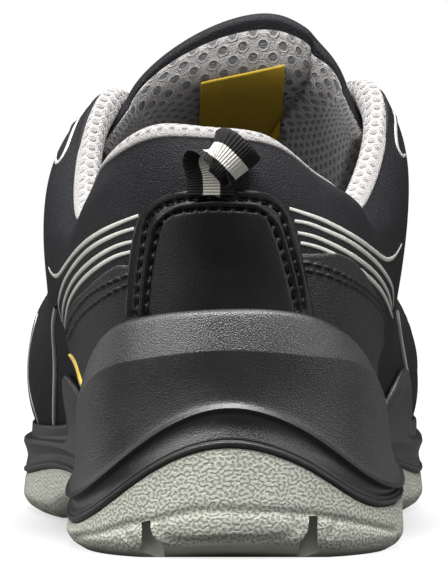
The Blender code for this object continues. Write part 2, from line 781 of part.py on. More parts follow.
def make_laces(material):
    """Bars of the lace across the throat, each lying just over the eyestay and the tongue."""
    lift = LACE_THICKNESS / 2 + FIT_GAP * 2
    bars = []
    for index, place in enumerate(np.linspace(6.05, 8.0, LACE_BARS)):
        v = np.array([0.93, 0.965, 1.0])
        lateral_u = np.full(3, place)
        medial_u = np.full(3, SECTION_COUNT - place)
        lateral = last_point(lateral_u, v) + last_normal(lateral_u, v) * lift
        medial = (last_point(medial_u, v) + last_normal(medial_u, v) * lift)[::-1]
        path = np.concatenate((lateral, bridge(place, 1.0, lift, BRIDGE_STEPS), medial))
        step = 0.05
        lateral_edge = last_point(lateral_u + step, v) - last_point(lateral_u - step, v)
        medial_edge = (last_point(medial_u - step, v) - last_point(medial_u + step, v))[::-1]
        middle = [(lateral_edge[-1] + medial_edge[0]) / 2] * (BRIDGE_STEPS - 1)
        sideways = np.concatenate((lateral_edge, middle, medial_edge))
        bars.append(sweep(f"lace_bar_{index + 1}", material, path, sideways, LACE_WIDTH, LACE_THICKNESS))
    return bars


# The pull loop's path on the heel: sideways, off the heel and height, as shares of LOOP_WIDTH.
LOOP_PATH = (
    ("sewn_end", 0.00, 0.00, 0.05),
    ("rise", 0.00, 0.00, 0.30),
    ("back", 0.03, 0.02, 0.52),
    ("crown", 0.14, 0.22, 0.78),
    ("over", 0.32, 0.58, 0.80),
    ("fall", 0.50, 0.84, 0.56),
    ("fold", 0.60, 0.84, 0.26),
    ("tuck", 0.60, 0.66, 0.04),
)


def make_pull_loop(material):
    height = HEEL_CUP_HEIGHT + PANEL_HEIGHT
    x = -0.030 * BALL_WIDTH
    path = []
    sideways = []
    knots = np.array([row[1:] for row in LOOP_PATH])
    table = spline_weights(np.linspace(0, len(knots) - 1, 12), len(knots), False) @ knots
    for index, (across, off, up) in enumerate(table):
        level = height + (up + 0.04) * LOOP_WIDTH
        point, normal = panel_point(level, x)
        stand = LOOP_THICKNESS / 2 + FIT_GAP * 1.2 + off * LOOP_WIDTH
        path.append(point + normal * stand + np.array((across * LOOP_WIDTH, 0.0, 0.0)))
        twist = smooth(0.0, 5.0, index)
        sideways.append((1.0, -0.06 * twist, 0.26 * twist))
    return sweep("pull_loop", material, path, sideways, LOOP_WIDTH, LOOP_THICKNESS)


def centre_on_floor(objects):
    """Put the origin under the middle of the shoe's box."""
    bpy.context.view_layer.update()
    graph = bpy.context.evaluated_depsgraph_get()
    corners = []
    for item in objects:
        mesh = item.evaluated_get(graph).to_mesh()
        count = len(mesh.vertices)
        flat = np.zeros(count * 3)
        mesh.vertices.foreach_get("co", flat)
        corners.append(flat.reshape(-1, 3))
    points = np.concatenate(corners)
    low = points.min(axis=0)
    high = points.max(axis=0)
    shift = Vector((-(low[0] + high[0]) / 2, -(low[1] + high[1]) / 2, -low[2]))
    for item in objects:
        item.location = shift


def build():
    for item in list(bpy.data.objects):
        bpy.data.objects.remove(item, do_unlink=True)
    rubber = make_material("outsole_rubber", (0.40, 0.42, 0.38), 0.65)
    foam = make_material("midsole_foam", (0.030, 0.031, 0.034), 0.45)
    shell = make_material("upper_microfibre", (0.028, 0.028, 0.032), 0.7)
    bed = make_material("insole_cloth", (0.05, 0.05, 0.055), 0.9)
    mesh = make_material("tongue_mesh", (0.45, 0.44, 0.42), 0.85)
    leather = make_material("panel_leather", (0.022, 0.022, 0.024), 0.42)
    side = make_material("counter_microfibre", (0.026, 0.026, 0.029), 0.65)
    webbing = make_material("loop_webbing", (0.04, 0.04, 0.042), 0.8)
    lace = make_material("lace_cord", (0.03, 0.03, 0.033), 0.85)
    made = [
        make_outsole(rubber),
        make_midsole(foam),
        make_upper(shell),
        make_insole(bed),
        make_tongue(mesh),
        make_heel_panel(leather),
        make_counter("counter_lateral", side, medial=False),
        make_counter("counter_medial", side, medial=True),
        make_pull_loop(webbing),
    ]
    made += make_laces(lace)
    centre_on_floor(made)


build()
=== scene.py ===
import math

import bmesh
import bpy
import numpy as np
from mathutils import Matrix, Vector
from mathutils.bvhtree import BVHTree
from mathutils.kdtree import KDTree


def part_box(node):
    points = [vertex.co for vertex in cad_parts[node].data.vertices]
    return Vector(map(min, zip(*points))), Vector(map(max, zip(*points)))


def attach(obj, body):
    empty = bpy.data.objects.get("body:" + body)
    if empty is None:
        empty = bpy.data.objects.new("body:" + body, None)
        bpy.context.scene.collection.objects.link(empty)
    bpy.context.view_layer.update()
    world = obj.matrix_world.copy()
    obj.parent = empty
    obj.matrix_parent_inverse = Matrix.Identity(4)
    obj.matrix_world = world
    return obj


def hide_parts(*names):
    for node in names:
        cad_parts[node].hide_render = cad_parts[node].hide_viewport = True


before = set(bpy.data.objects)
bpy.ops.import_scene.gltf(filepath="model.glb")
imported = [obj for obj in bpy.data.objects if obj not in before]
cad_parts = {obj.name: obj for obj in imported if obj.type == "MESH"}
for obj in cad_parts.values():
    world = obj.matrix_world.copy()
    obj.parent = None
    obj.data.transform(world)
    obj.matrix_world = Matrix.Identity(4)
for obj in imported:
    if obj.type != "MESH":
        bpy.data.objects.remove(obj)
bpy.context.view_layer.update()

scene = bpy.context.scene

# Outsole.
# One moulding of sage-grey rubber, cupped up the back of the heel, with lugs under heel and forefoot.
# It is bonded under the midsole; its walls carry a fine maze pattern and the gaps between lugs are smooth.
MM = 0.001
SOLE_LENGTH = 300 * MM
BALL_WIDTH = 110 * MM
HEEL_SEAT = 25 * MM
HEEL_RISE = 81 * MM
INSTEP_RISE = 92 * MM
HEEL_CUP_HEIGHT = 61 * MM
TOE_SPRING = 9 * MM
ARCH_RISE = 4 * MM
HEEL_BEVEL = 3.6 * MM
UPPER_WALL = 2.5 * MM
COLLAR_PAD = 8 * MM
FIT_GAP = 0.35 * MM
BROW_WALL = 5.6 * MM
RIM_WALL = 3.4 * MM
OUTSOLE_PLATE = 5.5 * MM
SOLE_JOINT_WIDTH = 9 * MM

# Section, place along the sole, lateral and medial edge, foot bed height, share of toe spring,
# share of the instep rise. Lengths are shares of SOLE_LENGTH, BALL_WIDTH and HEEL_SEAT.
SECTIONS = (
    ("back", 0.000, 0.018, 0.018, 1.00, 0.00, 0.0),
    ("heel_turn", 0.017, -0.145, 0.191, 1.00, 0.00, 0.0),
    ("heel_bend", 0.057, -0.273, 0.323, 1.00, 0.00, 0.0),
    ("heel", 0.133, -0.349, 0.405, 1.00, 0.00, 0.0),
    ("ankle", 0.240, -0.359, 0.391, 0.97, 0.00, 0.3),
    ("waist", 0.367, -0.350, 0.359, 0.86, 0.00, 1.0),
    ("instep", 0.500, -0.418, 0.400, 0.72, 0.00, 1.0),
    ("ball", 0.643, -0.498, 0.487, 0.60, 0.00, 1.0),
    ("toes", 0.787, -0.468, 0.491, 0.60, 0.06, 1.0),
    ("toe_turn", 0.917, -0.305, 0.382, 0.60, 0.45, 1.0),
    ("tip", 1.000, 0.073, 0.073, 0.60, 1.00, 1.0),
)

# The five loops of the upper: section, along, lateral and medial, rise of the lateral and medial wall.
FEATHER_LOOP = (
    ("back", 0.032, 0.018, 0.018, 0.0, 0.0),
    ("heel_turn", 0.043, -0.118, 0.155, 0.0, 0.0),
    ("heel_bend", 0.077, -0.218, 0.259, 0.0, 0.0),
    ("heel", 0.143, -0.277, 0.318, 0.0, 0.0),
    ("ankle", 0.243, -0.286, 0.314, 0.0, 0.0),
    ("waist", 0.367, -0.282, 0.282, 0.0, 0.0),
    ("instep", 0.500, -0.345, 0.327, 0.0, 0.0),
    ("ball", 0.643, -0.423, 0.418, 0.0, 0.0),
    ("toes", 0.780, -0.400, 0.423, 0.0, 0.0),
    ("toe_turn", 0.897, -0.259, 0.323, 0.0, 0.0),
    ("tip", 0.967, 0.073, 0.073, 0.0, 0.0),
)
LOW_LOOP = (
    ("back", 0.022, 0.014, 0.014, 0.247, 0.247),
    ("heel_turn", 0.037, -0.141, 0.173, 0.247, 0.247),
    ("heel_bend", 0.073, -0.245, 0.277, 0.247, 0.247),
    ("heel", 0.143, -0.309, 0.336, 0.235, 0.235),
    ("ankle", 0.243, -0.327, 0.341, 0.222, 0.222),
    ("waist", 0.367, -0.350, 0.355, 0.212, 0.212),
    ("instep", 0.500, -0.418, 0.400, 0.196, 0.196),
    ("ball", 0.643, -0.485, 0.475, 0.174, 0.174),
    ("toes", 0.787, -0.459, 0.475, 0.179, 0.179),
    ("toe_turn", 0.910, -0.305, 0.364, 0.174, 0.174),
    ("tip", 0.987, 0.073, 0.073, 0.163, 0.163),
)
MIDDLE_LOOP = (
    ("back", 0.027, 0.005, 0.005, 0.556, 0.556),
    ("heel_turn", 0.042, -0.150, 0.168, 0.556, 0.556),
    ("heel_bend", 0.078, -0.255, 0.273, 0.543, 0.543),
    ("heel", 0.147, -0.318, 0.327, 0.519, 0.519),
    ("ankle", 0.247, -0.373, 0.373, 0.459, 0.459),
    ("waist", 0.367, -0.418, 0.414, 0.462, 0.451),
    ("instep", 0.493, -0.429, 0.414, 0.440, 0.430),
    ("ball", 0.633, -0.457, 0.441, 0.424, 0.430),
    ("toes", 0.770, -0.405, 0.423, 0.353, 0.353),
    ("toe_turn", 0.887, -0.273, 0.327, 0.326, 0.326),
    ("tip", 0.960, 0.073, 0.073, 0.304, 0.304),
)
SHOULDER_LOOP = (
    ("back", 0.033, -0.014, -0.014, 0.827, 0.827),
    ("heel_turn", 0.048, -0.155, 0.141, 0.815, 0.802),
    ("heel_bend", 0.087, -0.259, 0.250, 0.765, 0.753),
    ("heel", 0.153, -0.323, 0.318, 0.704, 0.716),
    ("ankle", 0.253, -0.373, 0.373, 0.625, 0.649),
    ("waist", 0.373, -0.412, 0.436, 0.777, 0.788),
    ("instep", 0.487, -0.336, 0.345, 0.707, 0.717),
    ("ball", 0.617, -0.300, 0.300, 0.598, 0.598),
    ("toes", 0.740, -0.245, 0.264, 0.495, 0.495),
    ("toe_turn", 0.823, -0.136, 0.182, 0.446, 0.446),
    ("tip", 0.863, 0.055, 0.055, 0.413, 0.413),
)
TOP_LOOP = (
    ("back", 0.045, -0.027, -0.027, 0.969, 0.969),
    ("heel_turn", 0.058, -0.159, 0.109, 0.969, 0.944),
    ("heel_bend", 0.093, -0.250, 0.195, 0.907, 0.858),
    ("heel", 0.160, -0.291, 0.255, 0.821, 0.790),
    ("ankle", 0.253, -0.338, 0.323, 0.708, 0.744),
    ("waist", 0.380, -0.314, 0.382, 0.978, 1.000),
    ("instep", 0.473, -0.191, 0.209, 0.957, 0.978),
    ("ball", 0.560, -0.118, 0.136, 0.859, 0.870),
    ("toes", 0.623, -0.077, 0.095, 0.761, 0.766),
    ("toe_turn", 0.653, -0.036, 0.055, 0.679, 0.679),
    ("tip", 0.663, 0.009, 0.009, 0.625, 0.625),
)

# Heights on the side of the sole as shares of HEEL_CUP_HEIGHT, lateral and medial: top of the outsole,
# rib, brow under the bevel, rim. Then shares of BROW_WALL, RIM_WALL and COLLAR_PAD.
SOLE_SIDE = (
    ("back", 0.449, 0.449, 0.607, 0.607, 0.836, 0.836, 1.000, 1.000, 1.00, 1.00, 0.75),
    ("heel_turn", 0.366, 0.356, 0.508, 0.500, 0.803, 0.811, 0.975, 0.975, 1.00, 1.00, 0.80),
    ("heel_bend", 0.197, 0.208, 0.320, 0.320, 0.731, 0.754, 0.885, 0.852, 0.90, 0.90, 0.85),
    ("heel", 0.108, 0.205, 0.213, 0.262, 0.574, 0.574, 0.656, 0.656, 0.70, 0.65, 0.90),
    ("ankle", 0.148, 0.254, 0.246, 0.344, 0.475, 0.475, 0.541, 0.541, 0.50, 0.55, 1.00),
    ("waist", 0.205, 0.238, 0.303, 0.328, 0.426, 0.418, 0.492, 0.484, 0.45, 0.50, 1.00),
    ("instep", 0.225, 0.246, 0.320, 0.336, 0.369, 0.385, 0.418, 0.434, 0.40, 0.50, 0.15),
    ("ball", 0.164, 0.164, 0.303, 0.295, 0.344, 0.352, 0.389, 0.402, 0.35, 0.28, 0.10),
    ("toes", 0.180, 0.180, 0.316, 0.316, 0.370, 0.370, 0.410, 0.410, 0.35, 0.50, 0.10),
    ("toe_turn", 0.246, 0.246, 0.393, 0.393, 0.451, 0.451, 0.508, 0.508, 0.50, 0.60, 0.10),
    ("tip", 0.328, 0.328, 0.467, 0.467, 0.525, 0.525, 0.590, 0.590, 0.60, 0.70, 0.10),
)
# Blades of the midsole at the waist: place around the shoe, half width in sections, and rise as a
# share of HEEL_CUP_HEIGHT.
BLADES = (
    ("lateral", 5.33, 0.56, 0.185),
    ("medial", 13.67, 0.60, 0.235),
)

SECTION_COUNT = 2 * (len(SECTIONS) - 1)
STEPS_PER_SECTION = 26
AROUND = np.arange(SECTION_COUNT * STEPS_PER_SECTION) / STEPS_PER_SECTION


def knot_curvatures(count, closed):
    """Matrix from knot values to the second derivatives of the cubic spline through them."""
    system = np.zeros((count, count))
    values = np.zeros((count, count))
    for row in range(count):
        if not closed and row in (0, count - 1):
            system[row, row] = 1.0
            continue
        before = (row - 1) % count
        after = (row + 1) % count
        system[row, row] = 4.0
        system[row, before] += 1.0
        system[row, after] += 1.0
        values[row, row] = -12.0
        values[row, before] += 6.0
        values[row, after] += 6.0
    return np.linalg.solve(system, values)


def spline_weights(at, count, closed):
    """Weights of the knots for the spline's value at each place, where the knots lie at 0, 1, 2, ..."""
    at = np.asarray(at, dtype=float).ravel()
    curvature = knot_curvatures(count, closed)
    last_start = count - 1 if closed else count - 2
    start = np.clip(np.floor(at).astype(int), 0, last_start)
    share = at - start
    after = (start + 1) % count
    weights = np.zeros((len(at), count))
    rows = np.arange(len(at))
    weights[rows, start] += 1.0 - share
    weights[rows, after] += share
    weights += ((1.0 - share) ** 3 - (1.0 - share))[:, None] * curvature[start] / 6.0
    weights += (share ** 3 - share)[:, None] * curvature[after] / 6.0
    return weights


def around(table, lateral, medial):
    """A table's column as a ring: heel back, lateral side, toe tip, medial side."""
    out = [row[lateral] for row in table]
    back = [row[medial] for row in table[1:-1]]
    return np.array(out + back[::-1])


def ring_values(knots, at):
    """A ring of knot values read at any places around the shoe."""
    at = np.mod(np.asarray(at, dtype=float), SECTION_COUNT)
    weights = spline_weights(at, SECTION_COUNT, True)
    return np.tensordot(weights, knots, axes=1)


def smooth(low, high, value):
    """A soft step from 0 at low to 1 at high."""
    share = np.clip((value - low) / (high - low), 0.0, 1.0)
    return share * share * (3.0 - 2.0 * share)


def along_sole(share):
    """World Y of a place along the sole."""
    return (share - 0.5) * SOLE_LENGTH


SPRING = around(SECTIONS, 5, 5) * TOE_SPRING
SEAT = around(SECTIONS, 4, 4) * HEEL_SEAT + SPRING
INSTEP = around(SECTIONS, 6, 6)
RISE = HEEL_RISE * (1.0 - INSTEP) + INSTEP_RISE * INSTEP
SOLE_EDGE = np.stack(
    (around(SECTIONS, 2, 3) * BALL_WIDTH, along_sole(around(SECTIONS, 1, 1))), axis=1
)


def last_knots():
    """The upper's net of knots: loops by sections by coordinates."""
    loops = []
    for loop in (FEATHER_LOOP, LOW_LOOP, MIDDLE_LOOP, SHOULDER_LOOP, TOP_LOOP):
        x = around(loop, 2, 3) * BALL_WIDTH
        y = along_sole(around(loop, 1, 1))
        z = SEAT + around(loop, 4, 5) * RISE
        loops.append(np.stack((x, y, z), axis=1))
    return np.array(loops)


LAST = last_knots()
LOOPS = len(LAST)


def last_point(u, v):
    """Points of the upper's outer face: u in sections around the shoe, v from 0 (sole) to 1 (opening)."""
    u, v = np.broadcast_arrays(np.asarray(u, dtype=float), np.asarray(v, dtype=float))
    shape = u.shape
    across = spline_weights(np.mod(u, SECTION_COUNT), SECTION_COUNT, True)
    up = spline_weights(v * (LOOPS - 1), LOOPS, False)
    points = np.einsum("nl,ns,lsc->nc", up, across, LAST)
    return points.reshape(shape + (3,))


def unit(vectors):
    """Vectors scaled to unit length."""
    return vectors / np.maximum(np.linalg.norm(vectors, axis=-1, keepdims=True), 1e-12)


def last_normal(u, v):
    """Outward unit normals of the upper's outer face."""
    step = 0.01
    v_low = np.clip(np.asarray(v) - step, 0.0, 1.0)
    v_high = np.clip(np.asarray(v) + step, 0.0, 1.0)
    along_u = last_point(u + step, v) - last_point(u - step, v)
    along_v = last_point(u, v_high) - last_point(u, v_low)
    return unit(np.cross(along_v, along_u))


def last_upward(u, v):
    """Unit direction from the sole to the opening, along the upper's outer face."""
    step = 0.01
    return unit(last_point(u, v) - last_point(u, np.asarray(v) - step))


def v_at_height(u, height):
    """Where each strip of the last first reaches a height."""
    v = np.linspace(0.0, 1.0, 101)
    places = np.ravel(u)
    strips = last_point(places[:, None], v[None, :])[..., 2]
    strips = np.maximum.accumulate(strips, axis=1)
    return np.array([np.interp(level, strip, v) for level, strip in zip(np.ravel(height), strips)])


def wall_at_height(u, height, offset):
    """Points outside the last at a height, pushed out level by an offset."""
    v = v_at_height(u, height)
    normal = last_normal(u, v)
    normal[:, 2] = 0.0
    points = last_point(u, v) + unit(normal) * np.reshape(offset, (-1, 1))
    points[:, 2] = height
    return points


def wall_thickness(u, v):
    """The upper's wall: thin all over, padded at the collar and a little thicker at the eyestay."""
    pad = np.clip(ring_values(around(SOLE_SIDE, 11, 11), np.ravel(u)), 0.1, 1.0).reshape(np.shape(u))
    return UPPER_WALL + (COLLAR_PAD - UPPER_WALL) * pad * smooth(0.55, 0.95, v)


def inner_point(u, v, extra=0.0):
    """Points of the upper's inner face, or further in by an extra depth."""
    depth = wall_thickness(u, v) + extra
    return last_point(u, v) - last_normal(u, v) * depth[..., None]


def ground(y):
    """Height of the tread over the floor: heel bevel, arch and toe spring."""
    share = y / SOLE_LENGTH + 0.5
    bevel = HEEL_BEVEL * (1.0 - smooth(-0.02, 0.045, share))
    arch = ARCH_RISE * smooth(0.28, 0.36, share) * (1.0 - smooth(0.44, 0.53, share))
    spring = TOE_SPRING * np.clip((share - 0.76) / 0.24, 0.0, 1.2) ** 2
    return bevel + arch + spring


def sole_side(column, at):
    """A height on the side of the sole at places around it."""
    return ring_values(around(SOLE_SIDE, column, column + 1), at) * HEEL_CUP_HEIGHT


def blade_rise(at):
    """How far the midsole's rim stands up in a blade at places around the shoe."""
    at = np.mod(np.asarray(at, dtype=float), SECTION_COUNT)
    rise = np.zeros_like(at)
    for side, centre, half, share in BLADES:
        away = np.clip(np.abs(at - centre) / half, 0.0, 1.0)
        rise += (1.0 - away ** 2) ** 2 * share * HEEL_CUP_HEIGHT
    return rise


def rim_height(at):
    """Height of the midsole's rim at places around the shoe, blades included."""
    return sole_side(7, at) + blade_rise(at)


def edge_ring(inset, height):
    """A ring of points that follows the sole's outline, set in and at a height."""
    step = 0.02
    points = ring_values(SOLE_EDGE, AROUND)
    run = unit(ring_values(SOLE_EDGE, AROUND + step) - ring_values(SOLE_EDGE, AROUND - step))
    inward = np.stack((run[:, 1], -run[:, 0]), axis=1)
    points = points + inward * np.reshape(inset, (-1, 1))
    return np.column_stack((points, np.broadcast_to(height, len(points))))


outsole_low, outsole_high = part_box("outsole")
SHIFT = Vector((
    (outsole_low[0] + outsole_high[0]) / 2,
    (outsole_low[1] + outsole_high[1]) / 2,
    outsole_low[2],
))


def soften(rings, rounding, steps=4):
    """Rings joined one to the next with each corner rounded by its share."""
    rings = np.array(rings)
    rows = [rings[0]]
    for index in range(1, len(rings) - 1):
        share = rounding[index - 1]
        start = rings[index] + (rings[index - 1] - rings[index]) * share
        end = rings[index] + (rings[index + 1] - rings[index]) * share
        if share == 0:
            rows.append(rings[index])
            continue
        for step in np.linspace(0.0, 1.0, steps + 1):
            rest = 1.0 - step
            rows.append(rest ** 2 * start + 2 * rest * step * rings[index] + step ** 2 * end)
    rows.append(rings[-1])
    return np.array(rows)


def place_mesh(name, mesh):
    """A smooth object from a mesh, set where the frame has the shoe."""
    mesh.shade_smooth()
    made = bpy.data.objects.new(name, mesh)
    made.location = SHIFT
    scene.collection.objects.link(made)
    return made


def skin(name, points, closed=False, flip=False):
    """A smooth mesh through rows of points, with a flat map in metres across and along them."""
    points = np.asarray(points)
    rows, columns = points.shape[:2]
    steps = columns if closed else columns - 1
    row, column = np.meshgrid(np.arange(rows - 1), np.arange(steps), indexing="ij")
    after = (column + 1) % columns
    corners = np.stack((row * columns + column, row * columns + after,
                        (row + 1) * columns + after, (row + 1) * columns + column), axis=-1)
    ring = np.concatenate((points, points[:, :1]), axis=1) if closed else points
    across = np.linalg.norm(np.diff(ring, axis=1), axis=2).mean(axis=0)
    across = np.concatenate(([0.0], np.cumsum(across)))
    along = np.linalg.norm(np.diff(points, axis=0), axis=2).mean(axis=1)
    along = np.concatenate(([0.0], np.cumsum(along)))
    u = np.stack((across[column], across[column + 1], across[column + 1], across[column]), axis=-1)
    v = np.stack((along[row], along[row], along[row + 1], along[row + 1]), axis=-1)
    flat = np.stack((u, v), axis=-1)
    if flip:
        corners = corners[..., ::-1]
        flat = flat[..., ::-1, :]
    mesh = bpy.data.meshes.new(name)
    mesh.from_pydata(points.reshape(-1, 3).tolist(), [], corners.reshape(-1, 4).tolist())
    mesh.uv_layers.new(name="flat").data.foreach_set("uv", flat.ravel())
    return place_mesh(name, mesh)


def join_grids(name, grids, closed=False):
    """One smooth mesh from several grids of points."""
    places = []
    faces = []
    for grid in grids:
        grid = np.asarray(grid)
        rows, columns = grid.shape[:2]
        first = len(places)
        places.extend(grid.reshape(-1, 3).tolist())
        steps = columns if closed else columns - 1
        for row in range(rows - 1):
            for column in range(steps):
                after = (column + 1) % columns
                faces.append((first + row * columns + column, first + row * columns + after,
                              first + (row + 1) * columns + after, first + (row + 1) * columns + column))
    mesh = bpy.data.meshes.new(name)
    mesh.from_pydata(places, [], faces)
    return place_mesh(name, mesh)


def fit(piece, material, slot, *nodes):
    """Give a piece its material and hide the nodes that it stands for; the slot is not used."""
    piece.data.materials.clear()
    piece.data.materials.append(material)
    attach(piece, "root")
    if nodes:
        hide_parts(*nodes)


def fill_sockets(tree, made, values):
    """Set a node's sockets by key, or link them where the value comes from another node."""
    for key, value in (values or {}).items():
        socket = made.inputs[key]
        if isinstance(value, bpy.types.NodeSocket):
            tree.links.new(value, socket)
        else:
            socket.default_value = value


def add(tree, kind, values=None, **settings):
    """A shader node with its settings, and its sockets set or linked."""
    made = tree.nodes.new(kind)
    for key, value in settings.items():
        setattr(made, key, value)
    fill_sockets(tree, made, values)
    return made


def math_node(tree, operation, *values):
    """The result of a maths node."""
    return add(tree, "ShaderNodeMath", dict(enumerate(values)), operation=operation).outputs[0]


def remap(tree, value, low, high, to_low=0.0, to_high=1.0):
    """A value moved softly from one range to another."""
    values = {"Value": value, "From Min": low, "From Max": high, "To Min": to_low, "To Max": to_high}
    return add(tree, "ShaderNodeMapRange", values, interpolation_type="SMOOTHSTEP").outputs["Result"]


def separate(tree, vector):
    """The three parts of a vector, by name."""
    return add(tree, "ShaderNodeSeparateXYZ", {"Vector": vector}).outputs


def noise(tree, vector, scale, detail, roughness=0.5):
    """A noise's value at each place."""
    values = {"Vector": vector, "Scale": scale, "Detail": detail, "Roughness": roughness}
    return add(tree, "ShaderNodeTexNoise", values).outputs["Fac"]


def new_group(name, inputs, outputs):
    """A node group with named sockets; returns the tree and its input and output nodes."""
    tree = bpy.data.node_groups.new(name, "ShaderNodeTree")
    for label, kind, value in inputs:
        socket = tree.interface.new_socket(name=label, in_out="INPUT", socket_type=kind)
        if value is not None:
            socket.default_value = value
    for label, kind in outputs:
        tree.interface.new_socket(name=label, in_out="OUTPUT", socket_type=kind)
    return tree, tree.nodes.new("NodeGroupInput"), tree.nodes.new("NodeGroupOutput")


def use_group(tree, group, values=None):
    """A group placed in a material's tree."""
    made = tree.nodes.new("ShaderNodeGroup")
    made.node_tree = group
    fill_sockets(tree, made, values)
    return made.outputs


def new_material(name):
    """A material with its tree, its shader and object coordinates."""
    material = bpy.data.materials.new(name)
    material.use_nodes = True
    tree = material.node_tree
    shader = tree.nodes["Principled BSDF"]
    place = tree.nodes.new("ShaderNodeTexCoord")
    return material, tree, shader, place


def mix_colour(tree, share, first, second):
    """One colour laid over another by a share."""
    made = add(tree, "ShaderNodeMix", {"Factor": share}, data_type="RGBA")
    for index, value in ((6, first), (7, second)):
        if isinstance(value, bpy.types.NodeSocket):
            tree.links.new(value, made.inputs[index])
        else:
            made.inputs[index].default_value = (*value, 1.0)
    return made.outputs[2]


def bump(tree, shader, height, distance):
    """A bump on the shader's normal."""
    made = add(tree, "ShaderNodeBump", {"Height": height, "Distance": distance, "Strength": 1.0})
    tree.links.new(made.outputs["Normal"], shader.inputs["Normal"])


maze_tree, maze_in, maze_out = new_group(
    "maze_pattern",
    [("Vector", "NodeSocketVector", None), ("Pitch", "NodeSocketFloat", 1.2 * MM)],
    [("Height", "NodeSocketFloat"), ("Tone", "NodeSocketFloat")],
)
MAZE_WAVES = 6
MAZE_DRIFT_SCALE = 300.0
MAZE_DRIFT = 11.0
maze_rate = math_node(maze_tree, "DIVIDE", 2 * math.pi, maze_in.outputs["Pitch"])
maze_values = {0: maze_in.outputs["Vector"], "Scale": maze_rate}
maze_place = add(maze_tree, "ShaderNodeVectorMath", maze_values, operation="SCALE")
maze_sum = 0.0
for wave in range(MAZE_WAVES):
    angle = math.radians(180 / MAZE_WAVES * wave + 8)
    front = add(maze_tree, "ShaderNodeVectorMath", {
        0: maze_place.outputs["Vector"], 1: (math.cos(angle), math.sin(angle), 0.0)}, operation="DOT_PRODUCT")
    shifted = add(maze_tree, "ShaderNodeVectorMath", {
        0: maze_in.outputs["Vector"], 1: (0.1 * wave, 0.07 * wave, 0.0)}, operation="ADD")
    drift = noise(maze_tree, shifted.outputs["Vector"], MAZE_DRIFT_SCALE, 0.0)
    phase = math_node(maze_tree, "MULTIPLY", drift, MAZE_DRIFT)
    crest = math_node(maze_tree, "SINE", math_node(maze_tree, "ADD", front.outputs["Value"], phase))
    maze_sum = math_node(maze_tree, "ADD", maze_sum, crest)
maze_height = remap(maze_tree, maze_sum, -1.3, 0.7)
maze_tree.links.new(maze_height, maze_out.inputs["Height"])
maze_soft = noise(maze_tree, maze_in.outputs["Vector"], 60.0, 4.0)
maze_tree.links.new(maze_soft, maze_out.inputs["Tone"])

TREAD_INSET = 4.2 * MM
ROW_PITCH = 0.7 * MM
MOST_ROWS = 36
plan = edge_ring(0.0, 0.0)
tread_height = ground(plan[:, 1])
outsole_top = sole_side(1, AROUND)
foot = edge_ring(TREAD_INSET, 0.0)
foot[:, 2] = ground(foot[:, 1])
joint = edge_ring(SOLE_JOINT_WIDTH, 0.0)
joint[:, 2] = ground(joint[:, 1]) + OUTSOLE_PLATE
belly_height = np.minimum(tread_height + 4.0 * MM, outsole_top - 1.0 * MM)
outsole_rings = [
    foot,
    edge_ring(1.5 * MM, tread_height + 1.6 * MM),
    edge_ring(0.0, belly_height),
    edge_ring(0.6 * MM, outsole_top - 0.35 * MM),
    edge_ring(1.2 * MM, outsole_top),
    joint,
]
outsole_rows = soften(outsole_rings, (0.35, 0.3, 0.3, 0.3))
fine = []
for first, second in zip(outsole_rows, outsole_rows[1:]):
    fine.append(first)
    gap = np.linalg.norm(second - first, axis=1).max()
    pieces = int(min(gap // ROW_PITCH, MOST_ROWS))
    for part in range(1, pieces):
        fine.append(first + (second - first) * part / pieces)
fine.append(outsole_rows[-1])
outsole = skin("outsole_rubber_unit", fine, closed=True)


def cap_ring(shape, first, count):
    """Close a ring of a mesh with strips from its lateral to its medial side."""
    half = count // 2
    shape.verts.ensure_lookup_table()
    for rung in range(half):
        a = first + rung
        b = first + rung + 1
        c = first + (count - rung - 1) % count
        d = first + (count - rung) % count
        corners = []
        for corner in (a, b, c, d):
            if shape.verts[corner] not in corners:
                corners.append(shape.verts[corner])
        if len(corners) > 2:
            shape.faces.new(corners)


def close_skin(piece, rows, count):
    """Close the first and last ring of a skin and face it outward."""
    shape = bmesh.new()
    shape.from_mesh(piece.data)
    cap_ring(shape, 0, count)
    cap_ring(shape, (rows - 1) * count, count)
    bmesh.ops.recalc_face_normals(shape, faces=shape.faces)
    shape.to_mesh(piece.data)
    shape.free()


close_skin(outsole, len(fine), len(AROUND))
GROOVES = (
    (0.135, -6.0),
    (0.185, -6.0),
    (0.235, -6.0),
    (0.555, 9.0),
    (0.605, 9.0),
    (0.655, 9.0),
    (0.705, 9.0),
    (0.755, 9.0),
    (0.805, 9.0),
    (0.855, 9.0),
    (0.905, 9.0),
)
GROOVE_DEPTH = 3.4 * MM
GROOVE_WIDTH = 3.2 * MM


def cut_boxes(target, name, boxes):
    """Cut boxes that don't meet each other out of a piece, and keep the result as its mesh."""
    joined = bmesh.new()
    for centre, size, slant in boxes:
        made = bmesh.ops.create_cube(joined, size=1.0)["verts"]
        spin = math.radians(slant)
        for vert in made:
            x = vert.co.x * size[0]
            y = vert.co.y * size[1]
            turned_x = x * math.cos(spin) - y * math.sin(spin)
            turned_y = x * math.sin(spin) + y * math.cos(spin)
            vert.co = Vector((turned_x, turned_y, vert.co.z * size[2])) + Vector(centre)
    subtract(target, name, joined)


def apply_modifiers(piece):
    """Keep what a piece's modifiers make as its mesh."""
    graph = bpy.context.evaluated_depsgraph_get()
    result = bpy.data.meshes.new_from_object(piece.evaluated_get(graph))
    piece.modifiers.clear()
    piece.data = result


def subtract(target, name, joined):
    """Take a closed shape away from a piece, and keep the result as its mesh."""
    data = bpy.data.meshes.new(name)
    joined.to_mesh(data)
    joined.free()
    cutter = bpy.data.objects.new(name, data)
    cutter.location = target.location
    scene.collection.objects.link(cutter)
    cut = target.modifiers.new(name, "BOOLEAN")
    cut.operation = "DIFFERENCE"
    cut.solver = "EXACT"
    cut.object = cutter
    apply_modifiers(target)
    bpy.data.objects.remove(cutter)
    bpy.data.meshes.remove(data)


